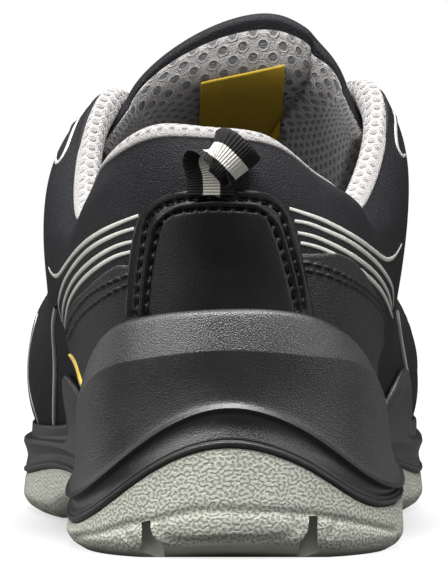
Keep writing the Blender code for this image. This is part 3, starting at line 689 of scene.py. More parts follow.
groove_boxes = []
for share, slant in GROOVES:
    y = along_sole(share)
    groove_boxes.append(((0.0, y, float(ground(y)) + GROOVE_DEPTH - 10 * MM),
                         (BALL_WIDTH * 1.2, GROOVE_WIDTH, 20 * MM), slant))
cut_boxes(outsole, "tread_grooves", groove_boxes)

# The view from straight behind, as picture columns and rows of the 448 by 570 photo.
OPTICAL_COLUMN = 224.0
HORIZON_ROW = 108.6
VIEW_SLOPE = 6179.0
CAMERA_DISTANCE = 1.5
CAMERA_HEIGHT = 0.1098
heel_back_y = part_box("midsole")[0][1]
EYE = Vector((0.0, heel_back_y - CAMERA_DISTANCE, CAMERA_HEIGHT)) - SHIFT
RUN_PITCH = 0.35 * MM
NEEDLE_STEP = 0.1 * MM


def surface_of(piece):
    """A piece's surface as a tree that rays can be cast at."""
    return BVHTree.FromObject(piece, bpy.context.evaluated_depsgraph_get())


def from_behind(surface, column, row):
    """Where the view from behind meets a surface at a picture place, and its normal there."""
    inward = 0.5 if column < OPTICAL_COLUMN else -0.5
    for step in range(16):
        sideways = (column + inward * step - OPTICAL_COLUMN) / VIEW_SLOPE
        slope = Vector((sideways, 1.0, (HORIZON_ROW - row) / VIEW_SLOPE))
        point, normal, index, distance = surface.ray_cast(EYE, slope.normalized(), 3.0)
        if point is not None:
            break
    if point is None:
        point, normal, index, distance = surface.find_nearest(EYE + slope * (CAMERA_DISTANCE + 40 * MM))
    if normal.dot(slope) > 0:
        normal = -normal
    return np.array(point), np.array(normal)


def trace(surface, table):
    """A smooth run of points and normals on a surface through picture places seen from behind."""
    table = np.array(table, dtype=float)
    at = np.linspace(0.0, len(table) - 1, len(table) * 14)
    places = spline_weights(at, len(table), False) @ table
    found = [from_behind(surface, column, row) for column, row in places]
    points = np.array([point for point, normal in found])
    normals = np.array([normal for point, normal in found])
    return resample(points, normals, RUN_PITCH)


def ease(points, passes):
    """Smooth points along their run, in place, with both ends held."""
    for turn in range(passes):
        points[1:-1] = (points[:-2] + points[1:-1] * 2 + points[2:]) / 4


def run_length(points):
    """The distance along a run at each of its points."""
    gaps = np.linalg.norm(np.diff(points, axis=0), axis=1)
    return np.concatenate(([0.0], np.cumsum(gaps)))


def calm(run, surface, passes):
    """A run smoothed along its length and laid back on its surface."""
    points, normals = run
    points = points.copy()
    ease(points, passes)
    laid = []
    facing = []
    for point, normal in zip(points, normals):
        near, near_normal, index, distance = surface.find_nearest(Vector(point))
        laid.append(np.array(near))
        facing.append(np.array(near_normal) * (1.0 if np.dot(near_normal, normal) > 0 else -1.0))
    return resample(np.array(laid), np.array(facing), RUN_PITCH)


def resample(points, normals, pitch):
    """Points and normals at an even pitch along a run."""
    length = run_length(points)
    even = np.linspace(0.0, length[-1], max(int(length[-1] / pitch), 4))
    points = np.stack([np.interp(even, length, points[:, axis]) for axis in range(3)], axis=1)
    normals = np.stack([np.interp(even, length, normals[:, axis]) for axis in range(3)], axis=1)
    ease(points, 3)
    ease(normals, 3)
    return points, unit(normals)


def press(piece, runs, depth, width):
    """Press a soft trough into a piece along runs of points, or raise a ridge for a depth below 0."""
    line = np.concatenate([points for points, normals in runs])
    near = KDTree(len(line))
    for index, point in enumerate(line):
        near.insert(point, index)
    near.balance()
    mesh = piece.data
    places = np.empty(len(mesh.vertices) * 3)
    normals = np.empty(len(mesh.vertices) * 3)
    mesh.vertices.foreach_get("co", places)
    mesh.vertices.foreach_get("normal", normals)
    places = places.reshape(-1, 3)
    normals = normals.reshape(-1, 3)
    low = line.min(axis=0) - width * 3
    high = line.max(axis=0) + width * 3
    inside = np.all((places > low) & (places < high), axis=1)
    for index in np.nonzero(inside)[0]:
        away = near.find(places[index])[2]
        if away < width * 3:
            places[index] -= normals[index] * depth * math.exp(-(away / width) ** 2)
    mesh.vertices.foreach_set("co", places.ravel())
    mesh.update()


def stitches(run, pitch=3.2 * MM, length=2.3 * MM, thickness=0.5 * MM, lift=0.0):
    """Short rounded threads along a run, each with its ends sunk in the needle holes."""
    points, normals = resample(*run, NEEDLE_STEP)
    tangent = unit(np.gradient(points, axis=0))
    across = np.cross(tangent, normals)
    step = int(pitch / NEEDLE_STEP)
    span = int(length / NEEDLE_STEP)
    made = []
    for start in range(2, len(points) - span - 2, step):
        rings = []
        for share in np.linspace(0.0, 1.0, 7):
            at = start + int(round(share * span))
            hump = math.sin(math.pi * share)
            centre = points[at] + normals[at] * (lift + thickness * (0.75 * hump ** 0.6 - 0.55))
            girth = thickness / 2 * (0.45 + 0.55 * hump ** 0.5)
            ring = []
            for turn in range(6):
                angle = math.radians(60 * turn)
                side = across[at] * math.cos(angle) * girth * 1.15
                ring.append(centre + side + normals[at] * math.sin(angle) * girth)
            rings.append(ring)
        made.append(rings)
    return made


# A strip's section, as shares of its half width and of its rise.
STRIP_SECTION = ((-1.0, -0.6), (-0.96, 0.5), (-0.7, 1.0), (0.0, 1.1), (0.7, 1.0), (0.96, 0.5), (1.0, -0.6))


def ribbon(run, widths, rise=0.22 * MM):
    """A thin strip laid along a run, with its edges set into the surface; widths run along it."""
    points, normals = run
    tangent = unit(np.gradient(points, axis=0))
    across = unit(np.cross(tangent, normals))
    share = np.linspace(0.0, len(widths) - 1, len(points))
    width = np.interp(share, np.arange(len(widths)), widths)[:, None]
    rows = []
    for side, up in STRIP_SECTION:
        rows.append(points + across * width / 2 * side + normals * rise * up)
    return rows


LOWEST_ROW = 543.0
BEHIND_HEEL = -165 * MM


def cut_prisms(target, name, outlines, depth):
    """Cut prisms out of a piece to a depth: each is an outline in picture places."""
    joined = bmesh.new()
    surface = surface_of(target)
    for outline in outlines:
        near = []
        far = []
        middle = np.mean(np.array(outline), axis=0)
        end = float(from_behind(surface, middle[0], min(middle[1], LOWEST_ROW))[0][1]) + depth
        for column, row in outline:
            x = (column - OPTICAL_COLUMN) * CAMERA_DISTANCE / VIEW_SLOPE
            z = EYE.z - (row - HORIZON_ROW) * CAMERA_DISTANCE / VIEW_SLOPE
            near.append(joined.verts.new((x, BEHIND_HEEL, z)))
            far.append(joined.verts.new((x, end, z)))
        joined.faces.new(near)
        joined.faces.new(far[::-1])
        for index in range(len(near)):
            after = (index + 1) % len(near)
            joined.faces.new((near[after], near[index], far[index], far[after]))
    bmesh.ops.recalc_face_normals(joined, faces=joined.faces)
    subtract(target, name, joined)


HEEL_GAP_DEPTH = 3.2 * MM
HEEL_GAPS = (
    ((141.8, 526), (148.2, 523.5), (152.5, 537), (163, 547.5), (166, 575), (139.5, 575), (141.0, 547)),
    ((310.0, 518.5), (317.6, 519), (318.0, 546), (321.0, 575), (296, 575), (299.5, 546), (308.0, 532)),
)
cut_prisms(outsole, "heel_gaps", HEEL_GAPS, HEEL_GAP_DEPTH)
outsole.data.shade_smooth()
outsole.data.set_sharp_from_angle(angle=math.radians(38))

rubber, tree, shader, place = new_material("sage_rubber")
flat_place = separate(tree, place.outputs["UV"])
wall_place = separate(tree, place.outputs["Object"])
maze_flat = add(tree, "ShaderNodeCombineXYZ", {"X": flat_place["X"], "Y": wall_place["Z"]})
maze = use_group(tree, maze_tree, {"Vector": maze_flat.outputs["Vector"]})
maze_wall = math_node(tree, "GREATER_THAN", flat_place["Y"], 3.0 * MM)
maze_relief = math_node(tree, "MULTIPLY", maze["Height"], maze_wall)
tone = remap(tree, maze["Tone"], 0.3, 0.7)
base = mix_colour(tree, tone, (0.345, 0.36, 0.30), (0.42, 0.43, 0.365))
# The maze's troughs on the walls are pulled toward a dark green: painted shade in the grooves.
maze_trough_painted_shade = math_node(tree, "MULTIPLY", math_node(tree, "SUBTRACT", maze_wall, maze_relief), 0.55)
shaded = mix_colour(tree, maze_trough_painted_shade, base, (0.13, 0.14, 0.12))
tree.links.new(shaded, shader.inputs["Base Color"])
shader.inputs["Roughness"].default_value = 0.62
bump(tree, shader, maze_relief, 0.19 * MM)

# A ledge runs round the heel's wall, and each lug there has a shallow inset.
HEEL_LEDGE = ((74, 537), (103.6, 532), (126.6, 524.7), (147.2, 521.8), (188.6, 512.5), (225.3, 510.8),
              (266.6, 511.8), (307.9, 514.6), (335.5, 518.5), (369.9, 525.4), (395, 531))
LUG_INSETS = (
    ((163, 526), (160, 531), (176, 540.5), (230, 540), (284, 537.5), (297, 529), (294, 520.5)),
    ((122.5, 529.5), (126.5, 536), (131.5, 541.5)),
    ((337.5, 520), (334.5, 528), (329.5, 535.5)),
)
outsole_surface = surface_of(outsole)
press(outsole, [trace(outsole_surface, HEEL_LEDGE)], 0.6 * MM, 0.9 * MM)
press(outsole, [trace(outsole_surface, table) for table in LUG_INSETS], 0.55 * MM, 0.75 * MM)
fit(outsole, rubber, "outsole_rubber", "outsole")

# Midsole.
# Dark foamed unit with a high heel cup, a rib that sweeps round the heel and a bevelled rim.
# It is moulded onto the upper and holds the heel; its skin is satin and faintly pebbled.
top = sole_side(1, AROUND)
rib = sole_side(3, AROUND)
brow = sole_side(5, AROUND) + blade_rise(AROUND) * 0.85
rim = rim_height(AROUND)
brow_wall = ring_values(around(SOLE_SIDE, 9, 9), AROUND) * BROW_WALL
rim_wall = ring_values(around(SOLE_SIDE, 10, 10), AROUND) * RIM_WALL
base_height = top + FIT_GAP * 0.5
lip = 1.6 * MM
heel_share = smooth(5.0, 3.6, np.minimum(AROUND, SECTION_COUNT - AROUND))
hollow = base_height + 1.35 * lip
rib_ring = edge_ring(0.1 * MM - 0.45 * MM * heel_share, rib)
brow_ring = wall_at_height(AROUND, brow, FIT_GAP + brow_wall)
recess = rib_ring * 0.5 + brow_ring * 0.5
recess[:, :2] -= (edge_ring(0.0, 0.0) - edge_ring(1.0, 0.0))[:, :2] * 1.2 * MM
under = edge_ring(SOLE_JOINT_WIDTH, 0.0)
under[:, 2] = ground(under[:, 1]) + OUTSOLE_PLATE + FIT_GAP
rim_v = v_at_height(AROUND, rim)
inside_v = v_at_height(AROUND, rim - 6.0 * MM)
midsole_rings = [
    under,
    edge_ring(1.0 * MM, base_height),
    edge_ring(0.15 * MM, base_height + 0.25 * lip),
    edge_ring(0.1 * MM, base_height + 0.8 * lip),
    edge_ring(0.9 * MM, base_height + 1.05 * lip),
    edge_ring(0.7 * MM, base_height + 1.35 * lip),
    edge_ring(1.3 * MM + 0.4 * MM * heel_share, hollow + (rib - hollow) * 0.40),
    edge_ring(0.8 * MM + 0.9 * MM * heel_share, hollow + (rib - hollow) * (0.72 + 0.08 * heel_share)),
    rib_ring,
    edge_ring(0.3 * MM + 0.7 * MM * heel_share, rib + 1.5 * MM),
    recess,
    brow_ring,
    wall_at_height(AROUND, rim - 0.9 * MM, FIT_GAP + rim_wall),
    wall_at_height(AROUND, rim, FIT_GAP + rim_wall * 0.6),
    last_point(AROUND, rim_v) + last_normal(AROUND, rim_v) * 0.1 * MM,
    last_point(AROUND, inside_v) - last_normal(AROUND, inside_v) * 0.4 * MM,
]
midsole_rounding = (0.02, 0.35, 0.35, 0.3, 0.2, 0.45, 0.4, 0.14, 0.35, 0.45, 0.03, 0.2, 0.4, 0.3)
midsole_rows = soften(midsole_rings, midsole_rounding, 6)
midsole = skin("midsole_unit", midsole_rows, closed=True)

grain_tree, grain_in, grain_out = new_group(
    "fine_grain",
    [("Vector", "NodeSocketVector", None), ("Scale", "NodeSocketFloat", 1000.0)],
    [("Height", "NodeSocketFloat"), ("Tone", "NodeSocketFloat"), ("Glint_mask", "NodeSocketFloat")],
)
grain_cell = add(grain_tree, "ShaderNodeTexVoronoi", {
    "Vector": grain_in.outputs["Vector"], "Scale": grain_in.outputs["Scale"]})
grain_fine = noise(grain_tree, grain_in.outputs["Vector"], grain_in.outputs["Scale"], 3.0)
grain_broad = noise(grain_tree, grain_in.outputs["Vector"], 35.0, 4.0)
grain_height = math_node(grain_tree, "ADD", grain_cell.outputs["Distance"], grain_fine)
grain_tree.links.new(grain_height, grain_out.inputs["Height"])
grain_tree.links.new(grain_broad, grain_out.inputs["Tone"])
# Sparse peaks of the fine noise mark where painted glints go.
grain_glint_mask = remap(grain_tree, grain_fine, 0.55, 0.8)
grain_tree.links.new(grain_glint_mask, grain_out.inputs["Glint_mask"])


def hide_material(name, dark, light, roughness, scale, depth, shine=0.35, glint=1.9):
    """A grained skin: a tone that drifts, painted glints as lighter specks on the grain, and a fine bump."""
    material, tree, shader, place = new_material(name)
    grain = use_group(tree, grain_tree, {"Vector": place.outputs["Object"], "Scale": scale})
    tone = remap(tree, grain["Tone"], 0.35, 0.65)
    base = mix_colour(tree, tone, dark, light)
    # Lighter specks on the grain are painted glints that stand in for highlights.
    glint_colour = tuple(min(channel * glint, 1.0) for channel in light)
    glint_share = math_node(tree, "MULTIPLY", grain["Glint_mask"], 0.9)
    tree.links.new(mix_colour(tree, glint_share, base, glint_colour), shader.inputs["Base Color"])
    rough = remap(tree, grain["Tone"], 0.3, 0.7, roughness - 0.06, roughness + 0.06)
    tree.links.new(rough, shader.inputs["Roughness"])
    shader.inputs["Specular IOR Level"].default_value = shine
    bump(tree, shader, grain["Height"], depth)
    return material


foam_skin = hide_material("satin_foam_skin", (0.0065, 0.0062, 0.0068), (0.0115, 0.011, 0.0115), 0.40,
                          2900.0, 0.08 * MM, shine=0.7)
fit(midsole, foam_skin, "midsole_foam", "midsole")

# Upper shell.
# Fine-grained dark microfibre over the whole last, in two quarters that meet at the heel, with a vamp.
# It is lasted under and bonded into the midsole; its top edge is turned under the padded lining.
SHELL = 1.5 * MM
from_heel = np.minimum(AROUND, SECTION_COUNT - AROUND)
collar_share = smooth(6.0, 5.3, from_heel)
shell_top = 1.0 - 0.016 * collar_share * smooth(5.2, 4.2, from_heel)
cup_v = rim_v - 0.05
shell_rows = []
for part in np.linspace(0.0, 1.0, 110):
    v = cup_v + (shell_top - cup_v) * part
    shell_rows.append(last_point(AROUND, v))
edge_point = last_point(AROUND, shell_top)
edge_normal = last_normal(AROUND, shell_top)
edge_up = last_upward(AROUND, shell_top)
for turn in (30, 60, 90, 120, 150):
    angle = math.radians(turn)
    out = edge_normal * (math.cos(angle) - 1.0) * SHELL / 2
    up = edge_up * math.sin(angle) * SHELL / 2
    shell_rows.append(edge_point + out + up)
for depth in np.linspace(0.0, 0.16, 5):
    v = shell_top - depth
    shell_rows.append(last_point(AROUND, v) - last_normal(AROUND, v) * SHELL)
shell = skin("upper_shell", shell_rows, closed=True)
microfibre = hide_material("dark_microfibre", (0.007, 0.0066, 0.008), (0.0105, 0.0101, 0.0118), 0.62,
                           2300.0, 0.13 * MM, shine=0.12, glint=4.5)
fit(shell, microfibre, "upper_microfibre", "upper")

# Collar lining.
# Light grey spacer mesh over foam, from the shell's top edge over the collar and down inside to the sole.
# Its edge rolls outward and shows from behind as a pale piping; a thinner lining goes on under the vamp.
COLLAR_REACH = 5.6
VAMP_START = 5.45
LINING_REACH = np.arange(0, 2 * COLLAR_REACH * STEPS_PER_SECTION + 1) / STEPS_PER_SECTION - COLLAR_REACH
edge_v = np.ones_like(LINING_REACH)
lining_pad = wall_thickness(LINING_REACH, edge_v)
lining_top = last_point(LINING_REACH, edge_v)
lining_out = last_normal(LINING_REACH, edge_v)
lining_up = last_upward(LINING_REACH, edge_v)
# How far out and up each row of the roll lies, in millimetres and then as shares of the padding.
LINING_ROLL = (
    (-0.9, -1.5, 0.0, 0.0),
    (0.25, -1.15, 0.0, 0.0),
    (0.45, -0.5, 0.0, 0.0),
    (0.35, 0.1, 0.0, 0.0),
    (0.2, 0.5, -0.10, 0.20),
    (0.0, 0.75, -0.30, 0.33),
    (0.0, 0.8, -0.50, 0.37),
    (0.0, 0.5, -0.72, 0.30),
    (0.0, 0.2, -0.92, 0.12),
)
roll_knots = []
overlap = smooth(5.2, 4.2, np.abs(LINING_REACH))
for out_mm, up_mm, out_share, up_share in LINING_ROLL:
    if up_share == 0.0:
        up_mm = up_mm * overlap
        out_mm = out_mm * overlap - 1.2 * (1.0 - overlap)
    out = (out_mm * MM + out_share * lining_pad)[:, None]
    up = (up_mm * MM + up_share * lining_pad)[:, None]
    roll_knots.append(lining_top + lining_out * out + lining_up * up)
for v in (0.97, 0.93, 0.88, 0.8, 0.7, 0.6, 0.5, 0.4, 0.3, 0.2, 0.1, 0.02):
    roll_knots.append(inner_point(LINING_REACH, np.full_like(LINING_REACH, v)))
roll_knots = np.array(roll_knots)
roll_rows = len(LINING_ROLL)
roll_at = np.concatenate((np.linspace(0, roll_rows, 46), np.linspace(roll_rows, len(roll_knots) - 1, 45)[1:]))
lining_rows = np.tensordot(spline_weights(roll_at, len(roll_knots), False), roll_knots, axes=1)
lining = skin("collar_lining", lining_rows)
VAMP_REACH = np.arange(VAMP_START, SECTION_COUNT - VAMP_START, 0.06)
vamp_levels = (0.965, 0.93, 0.88, 0.8, 0.7, 0.6, 0.5, 0.4, 0.3, 0.2, 0.1, 0.02)
vamp_rows = [inner_point(VAMP_REACH, np.full_like(VAMP_REACH, v)) for v in vamp_levels]
vamp_lining = skin("vamp_lining", vamp_rows)

mesh_tree, mesh_in, mesh_out = new_group(
    "spacer_mesh",
    [("Vector", "NodeSocketVector", None), ("Pitch", "NodeSocketFloat", 3.5 * MM),
     ("Row", "NodeSocketFloat", 2.7 * MM), ("Hole", "NodeSocketFloat", 0.24),
     ("Fade", "NodeSocketFloat", 1.0)],
    [("Hole", "NodeSocketFloat"), ("Height", "NodeSocketFloat"), ("Fibre", "NodeSocketFloat")],
)
mesh_split = separate(mesh_tree, mesh_in.outputs["Vector"])
mesh_row = math_node(mesh_tree, "DIVIDE", mesh_split["Y"], mesh_in.outputs["Row"])
mesh_row_index = math_node(mesh_tree, "FLOOR", mesh_row)
mesh_half = math_node(mesh_tree, "MULTIPLY", math_node(mesh_tree, "PINGPONG", mesh_row_index, 1.0), 0.5)
mesh_across = math_node(mesh_tree, "DIVIDE", mesh_split["X"], mesh_in.outputs["Pitch"])
mesh_column = math_node(mesh_tree, "ADD", mesh_across, mesh_half)
mesh_x = math_node(mesh_tree, "SUBTRACT", math_node(mesh_tree, "FRACT", mesh_column), 0.5)
mesh_row_share = math_node(mesh_tree, "SUBTRACT", math_node(mesh_tree, "FRACT", mesh_row), 0.5)
mesh_y = math_node(mesh_tree, "MULTIPLY", mesh_row_share, 0.62)
mesh_x_square = math_node(mesh_tree, "MULTIPLY", mesh_x, mesh_x)
mesh_y_square = math_node(mesh_tree, "MULTIPLY", mesh_y, mesh_y)
mesh_far = math_node(mesh_tree, "SQRT", math_node(mesh_tree, "ADD", mesh_x_square, mesh_y_square))
mesh_edge = math_node(mesh_tree, "SUBTRACT", mesh_far, mesh_in.outputs["Hole"])
mesh_inside = remap(mesh_tree, mesh_edge, 0.03, -0.03)
mesh_hole = math_node(mesh_tree, "MULTIPLY", mesh_inside, mesh_in.outputs["Fade"])
mesh_from_ring = math_node(mesh_tree, "ABSOLUTE", math_node(mesh_tree, "SUBTRACT", mesh_edge, 0.07))
mesh_ring = remap(mesh_tree, mesh_from_ring, 0.08, 0.0)
mesh_ring = math_node(mesh_tree, "MULTIPLY", mesh_ring, mesh_in.outputs["Fade"])
mesh_fibre = noise(mesh_tree, mesh_in.outputs["Vector"], 3500.0, 2.0)
mesh_tree.links.new(mesh_hole, mesh_out.inputs["Hole"])
mesh_tuft = noise(mesh_tree, mesh_in.outputs["Vector"], 1100.0, 3.0, roughness=0.7)
mesh_pile = math_node(mesh_tree, "ADD", mesh_fibre, mesh_tuft)
mesh_ring_height = math_node(mesh_tree, "MULTIPLY", mesh_ring, 0.5)
mesh_pile_height = math_node(mesh_tree, "MULTIPLY", mesh_pile, 0.7)
mesh_raised = math_node(mesh_tree, "ADD", mesh_ring_height, mesh_pile_height)
mesh_height = math_node(mesh_tree, "SUBTRACT", mesh_raised, mesh_hole)
mesh_tree.links.new(mesh_height, mesh_out.inputs["Height"])
mesh_tree.links.new(mesh_fibre, mesh_out.inputs["Fibre"])


def shade(colour, share):
    """A colour made darker to a share of itself."""
    return tuple(channel * share for channel in colour)


def mesh_material(name, pale, hole, size, pitch, row, edge=None):
    """Knitted spacer mesh: fluffy pale yarn with ringed holes in staggered rows; the holes carry a dark
    colour as painted shade.
    """
    material, tree, shader, place = new_material(name)
    fade = 1.0
    if edge is not None:
        fade = remap(tree, separate(tree, place.outputs["UV"])["Y"], edge, edge + 1.2 * MM)
    pattern = use_group(tree, mesh_tree, {"Vector": place.outputs["UV"], "Hole": size, "Pitch": pitch,
                                         "Row": row, "Fade": fade})
    yarn = mix_colour(tree, remap(tree, pattern["Fibre"], 0.3, 0.7), shade(pale, 0.66), pale)
    if edge is not None:
        speckle = remap(tree, pattern["Fibre"], 0.35, 0.65)
        piping = mix_colour(tree, speckle, shade(pale, 0.38), shade(pale, 0.86))
        yarn = mix_colour(tree, fade, piping, yarn)
    # Inside the holes the yarn gives way to the second colour, painted shade in the mesh's depth.
    tree.links.new(mix_colour(tree, pattern["Hole"], yarn, hole), shader.inputs["Base Color"])
    shader.inputs["Roughness"].default_value = 0.9
    shader.inputs["Sheen Weight"].default_value = 0.3
    bump(tree, shader, pattern["Height"], 0.7 * MM)
    return material


# Each mesh's second colour is the painted shade inside its holes.
roll_cloth = mesh_material("pale_spacer_mesh", (0.33, 0.31, 0.30), (0.15, 0.145, 0.15), 0.2,
                           pitch=3.1 * MM, row=2.3 * MM, edge=2.6 * MM)
lining_cloth = mesh_material("shaded_spacer_mesh", (0.44, 0.42, 0.41), (0.14, 0.135, 0.14), 0.22,
                             pitch=3.1 * MM, row=2.3 * MM)
fit(lining, roll_cloth, "tongue_mesh")
fit(vamp_lining, lining_cloth, "tongue_mesh")

# Insole.
# A loose foot bed of dark cloth on foam that lies inside the lining.
# It is die-cut to the last's floor, with a rounded edge, and lifts out.
INSOLE_THICKNESS = 4 * MM
bed_edge = inner_point(AROUND, np.zeros_like(AROUND), FIT_GAP)
bed_edge[:, 2] = ring_values(SEAT, AROUND)
bed_rows = []
bed_middle = (bed_edge + bed_edge[-np.arange(len(AROUND))]) / 2
# Each row's share of the way to the middle line, and its share of the thickness.
BED_SHAPE = (
    (0.04, 0.0),
    (0.0, 0.3),
    (0.0, 0.8),
    (0.03, 1.0),
    (0.1, 1.0),
    (0.25, 1.0),
    (0.5, 0.97),
    (0.75, 0.95),
    (1.0, 0.95),
)
for inset, height in BED_SHAPE:
    ring = bed_edge + (bed_middle - bed_edge) * inset
    ring[:, 2] = bed_edge[:, 2] + INSOLE_THICKNESS * height
    bed_rows.append(ring)
insole = skin("foot_bed", bed_rows, closed=True)
bed_cloth = hide_material("foot_bed_cloth", (0.03, 0.03, 0.033), (0.05, 0.05, 0.055), 0.85, 2600.0, 0.2 * MM)
fit(insole, bed_cloth, "insole_cloth", "insole")

# Pale lines.
# Thin light-grey strips bonded to the shell: four sweep from the heel panel down each side, a hook
# stands near each front of the collar, and a fine piping runs down the forefoot, twice on its outer side.
shell_surface = surface_of(shell)
PALE_LINES = (
    ((139, 215.6), (122.7, 221.8), (105.8, 229.4), (90.5, 238.6), (76.8, 250.8), (66, 264.6), (59.9, 273.6),
     (56, 276.2), (52, 273.8), (49.0, 267.5)),
    ((134.6, 228.6), (119.6, 233.2), (101.3, 241.7), (85.9, 252.4), (73.7, 266.2), (64.5, 281.5),
     (59.8, 296.8),
     (59.3, 307.5), (62.5, 321)),
    ((132.6, 241.7), (116.6, 246.3), (99.7, 255.4), (85.9, 266.2), (73.7, 280), (66.3, 295.3), (63, 310.6),
     (64.0, 325)),
    ((131.6, 251.9), (116.6, 256.2), (101.3, 264.6), (87.5, 275.4), (76.8, 287.6), (69.4, 301.4),
     (66.3, 315.2),
     (65.3, 328)),
    ((289.1, 208.6), (306.4, 214.2), (324, 220.8), (341.6, 229.6), (357.7, 239.1), (370.9, 248.7),
     (381.2, 256.7),
     (387.8, 259.6), (393.7, 257), (398.1, 250.9), (401.2, 244.3)),
    ((294.2, 221.2), (309.3, 224), (326.9, 231.1), (344.5, 239.1), (360.7, 249.4), (375.3, 261.9),
     (384.9, 273.6),
     (390.8, 283.9), (392.9, 293), (393, 306)),
    ((297.3, 233), (312.3, 236.2), (328.4, 242.8), (344.5, 250.9), (360.7, 261.1), (373.9, 272.1),
     (382.7, 283.1),
     (388.6, 294.9), (391.6, 308.8)),
    ((300.2, 243.1), (315.2, 246.5), (331.3, 253.1), (346, 261.1), (360.7, 270.7), (372.4, 280.9),
     (381.2, 291.2),
     (387.8, 303.7), (392.4, 318)),
)
# The first of these is the outer forefoot piping, which is as fine as the hooks.
HOOKS = (
    ((37.9, 314), (30, 348.6), (28.6, 380), (32, 401), (38.6, 423)),
    ((87.7, 103.2), (79.3, 117.9), (73, 130.5), (68.1, 144.6), (63.2, 155.8), (57.8, 164.6), (55.5, 160.5),
     (57.0, 153.0)),
    ((394.6, 110), (395.5, 124.6), (395.8, 137.4), (397.4, 148.9), (400.6, 156.0), (403.2, 158.0),
     (404.8, 155)),
)
FOREFOOT_PIPING = (
    ((56.9, 307), (54.3, 320), (52.9, 336), (56.1, 350), (55.7, 380), (55.4, 408.6), (55.4, 424)),
    ((395.9, 310.3), (397.4, 326.4), (401.2, 344), (402.9, 360.2), (406.2, 374.8), (408.8, 392.4),
     (409.2, 410)),
)
LINE_WIDTHS = np.array((0.9, 1.25, 1.35, 1.35, 1.3, 1.25, 1.1, 0.4)) * MM
HOOK_WIDTHS = np.array((0.5, 1.0, 1.3, 1.3, 1.2, 0.8)) * MM
PIPING_WIDTHS = np.array((1.0, 1.4, 1.4, 1.2)) * MM
PIPING_RISE = 0.7 * MM
pale_grids = []
for table in PALE_LINES:
    pale_grids.append(ribbon(trace(shell_surface, table), LINE_WIDTHS))
for table in HOOKS:
    run = calm(trace(shell_surface, table), shell_surface, 60)
    pale_grids.append(ribbon(run, HOOK_WIDTHS))
for table in FOREFOOT_PIPING:
    run = calm(trace(shell_surface, table), shell_surface, 900)
    pale_grids.append(ribbon(run, PIPING_WIDTHS, PIPING_RISE))
pale_lines = join_grids("pale_side_lines", pale_grids)
pale_film, tree, shader, place = new_material("pale_film")
film_mottle = noise(tree, place.outputs["Object"], 700.0, 4.0)
tree.links.new(mix_colour(tree, film_mottle, (0.27, 0.28, 0.25), (0.42, 0.43, 0.39)),
               shader.inputs["Base Color"])
shader.inputs["Roughness"].default_value = 0.4
bump(tree, shader, film_mottle, 0.05 * MM)
fit(pale_lines, pale_film, "upper_microfibre")

# Heel panel.
# A raised patch of smooth dark leather over the back of the heel, tucked behind the midsole's rim.
# Two rows of stitches run round its edge with a soft ridge between them.
PANEL_HEIGHT = 29 * MM
PANEL_THICKNESS = 1.5 * MM
PANEL_ROUNDING = 1.2 * MM
PANEL_ROWS = (
    ("foot", 0.00, -0.217, 0.200),
    ("low", 0.30, -0.212, 0.182),
    ("middle", 0.57, -0.203, 0.167),
    ("high", 0.78, -0.187, 0.148),
    ("corner", 0.89, -0.162, 0.128),
    ("round", 0.96, -0.125, 0.100),
    ("top", 1.00, -0.060, 0.045),
)
PANEL_COLUMNS = 150
PANEL_LEVELS = 110


def panel_place(height, x):
    """The place around the heel that lies at a height and a sideways distance."""
    u = np.linspace(-3.0, 3.0, 121)
    line = last_point(u, v_at_height(u, np.full_like(u, height)))
    return np.interp(x, line[::-1, 0], u[::-1])


def heel_points(height, x):
    """Points and normals on the heel at a height and sideways distances."""
    places = panel_place(height, np.asarray(x))
    at = v_at_height(places, np.full(len(places), height))
    return last_point(places, at), last_normal(places, at)


def rounded_edge(distance, rounding, thickness):
    """Height of an overlay's face near its edge, rounded over like cut leather."""
    share = np.clip(distance / rounding, 0.0, 1.0)
    return thickness * np.sqrt(np.clip(1.0 - (1.0 - share) ** 2, 0.0, 1.0))


panel_top = HEEL_CUP_HEIGHT + PANEL_HEIGHT
panel_shares = np.array([row[1] for row in PANEL_ROWS])
panel_sides = np.array([row[2:] for row in PANEL_ROWS])
panel_foot = HEEL_CUP_HEIGHT - 2.0 * MM
turned = 1.0 - (1.0 - np.linspace(0.0, 1.0, PANEL_LEVELS)) ** 1.6
panel_grid = []
for share in turned:
    at = np.interp(share, panel_shares, np.arange(len(panel_shares)))
    lateral, medial = spline_weights([at], len(PANEL_ROWS), False)[0] @ panel_sides
    x = np.linspace(lateral, medial, PANEL_COLUMNS + 1) * BALL_WIDTH
    height = panel_foot + (panel_top - panel_foot) * share
    points, normals = heel_points(height, x)
    edge = np.minimum(x - x[0], x[-1] - x)
    edge = np.minimum(edge, panel_top - height)
    rise = rounded_edge(edge, PANEL_ROUNDING, PANEL_THICKNESS)
    panel_grid.append(points + normals * (rise + 0.1 * MM)[:, None])
heel_panel = skin("heel_panel_leather", panel_grid)
PANEL_SEAMS = (
    ((135.7, 316), (137.2, 295.3), (139.5, 270.8), (142.6, 246.3), (145.7, 226.3), (153.3, 212.6),
     (167.1, 204.1),
     (185.5, 200), (200.8, 198.8), (214.6, 198.4), (228.4, 199), (243, 199.6), (257, 201), (269, 204),
     (277.5, 209.5), (282.9, 218), (287.3, 234), (293.2, 256), (299.1, 278), (303.5, 309)),
    ((144.9, 316), (147.2, 289.1), (150.3, 264.6), (154.9, 240.1), (159.4, 224.8), (167.1, 216.4),
     (177.8, 211.8),
     (193.1, 209.8), (208.5, 208.7), (228.4, 208.7), (245, 209.4), (258, 211.4), (267, 216), (273, 225),
     (280, 242.8), (285.9, 263.3), (291.7, 285.3), (297.4, 310)),
)


def dashes(runs, pitch=3.1 * MM, length=1.7 * MM):
    """The parts of some runs where the stitches go down into the leather."""
    parts = []
    for points, normals in runs:
        down = np.mod(run_length(points), pitch) < length
        parts.append((points[down], normals[down]))
    return parts


panel_surface = surface_of(heel_panel)
panel_runs = [trace(panel_surface, table) for table in PANEL_SEAMS]
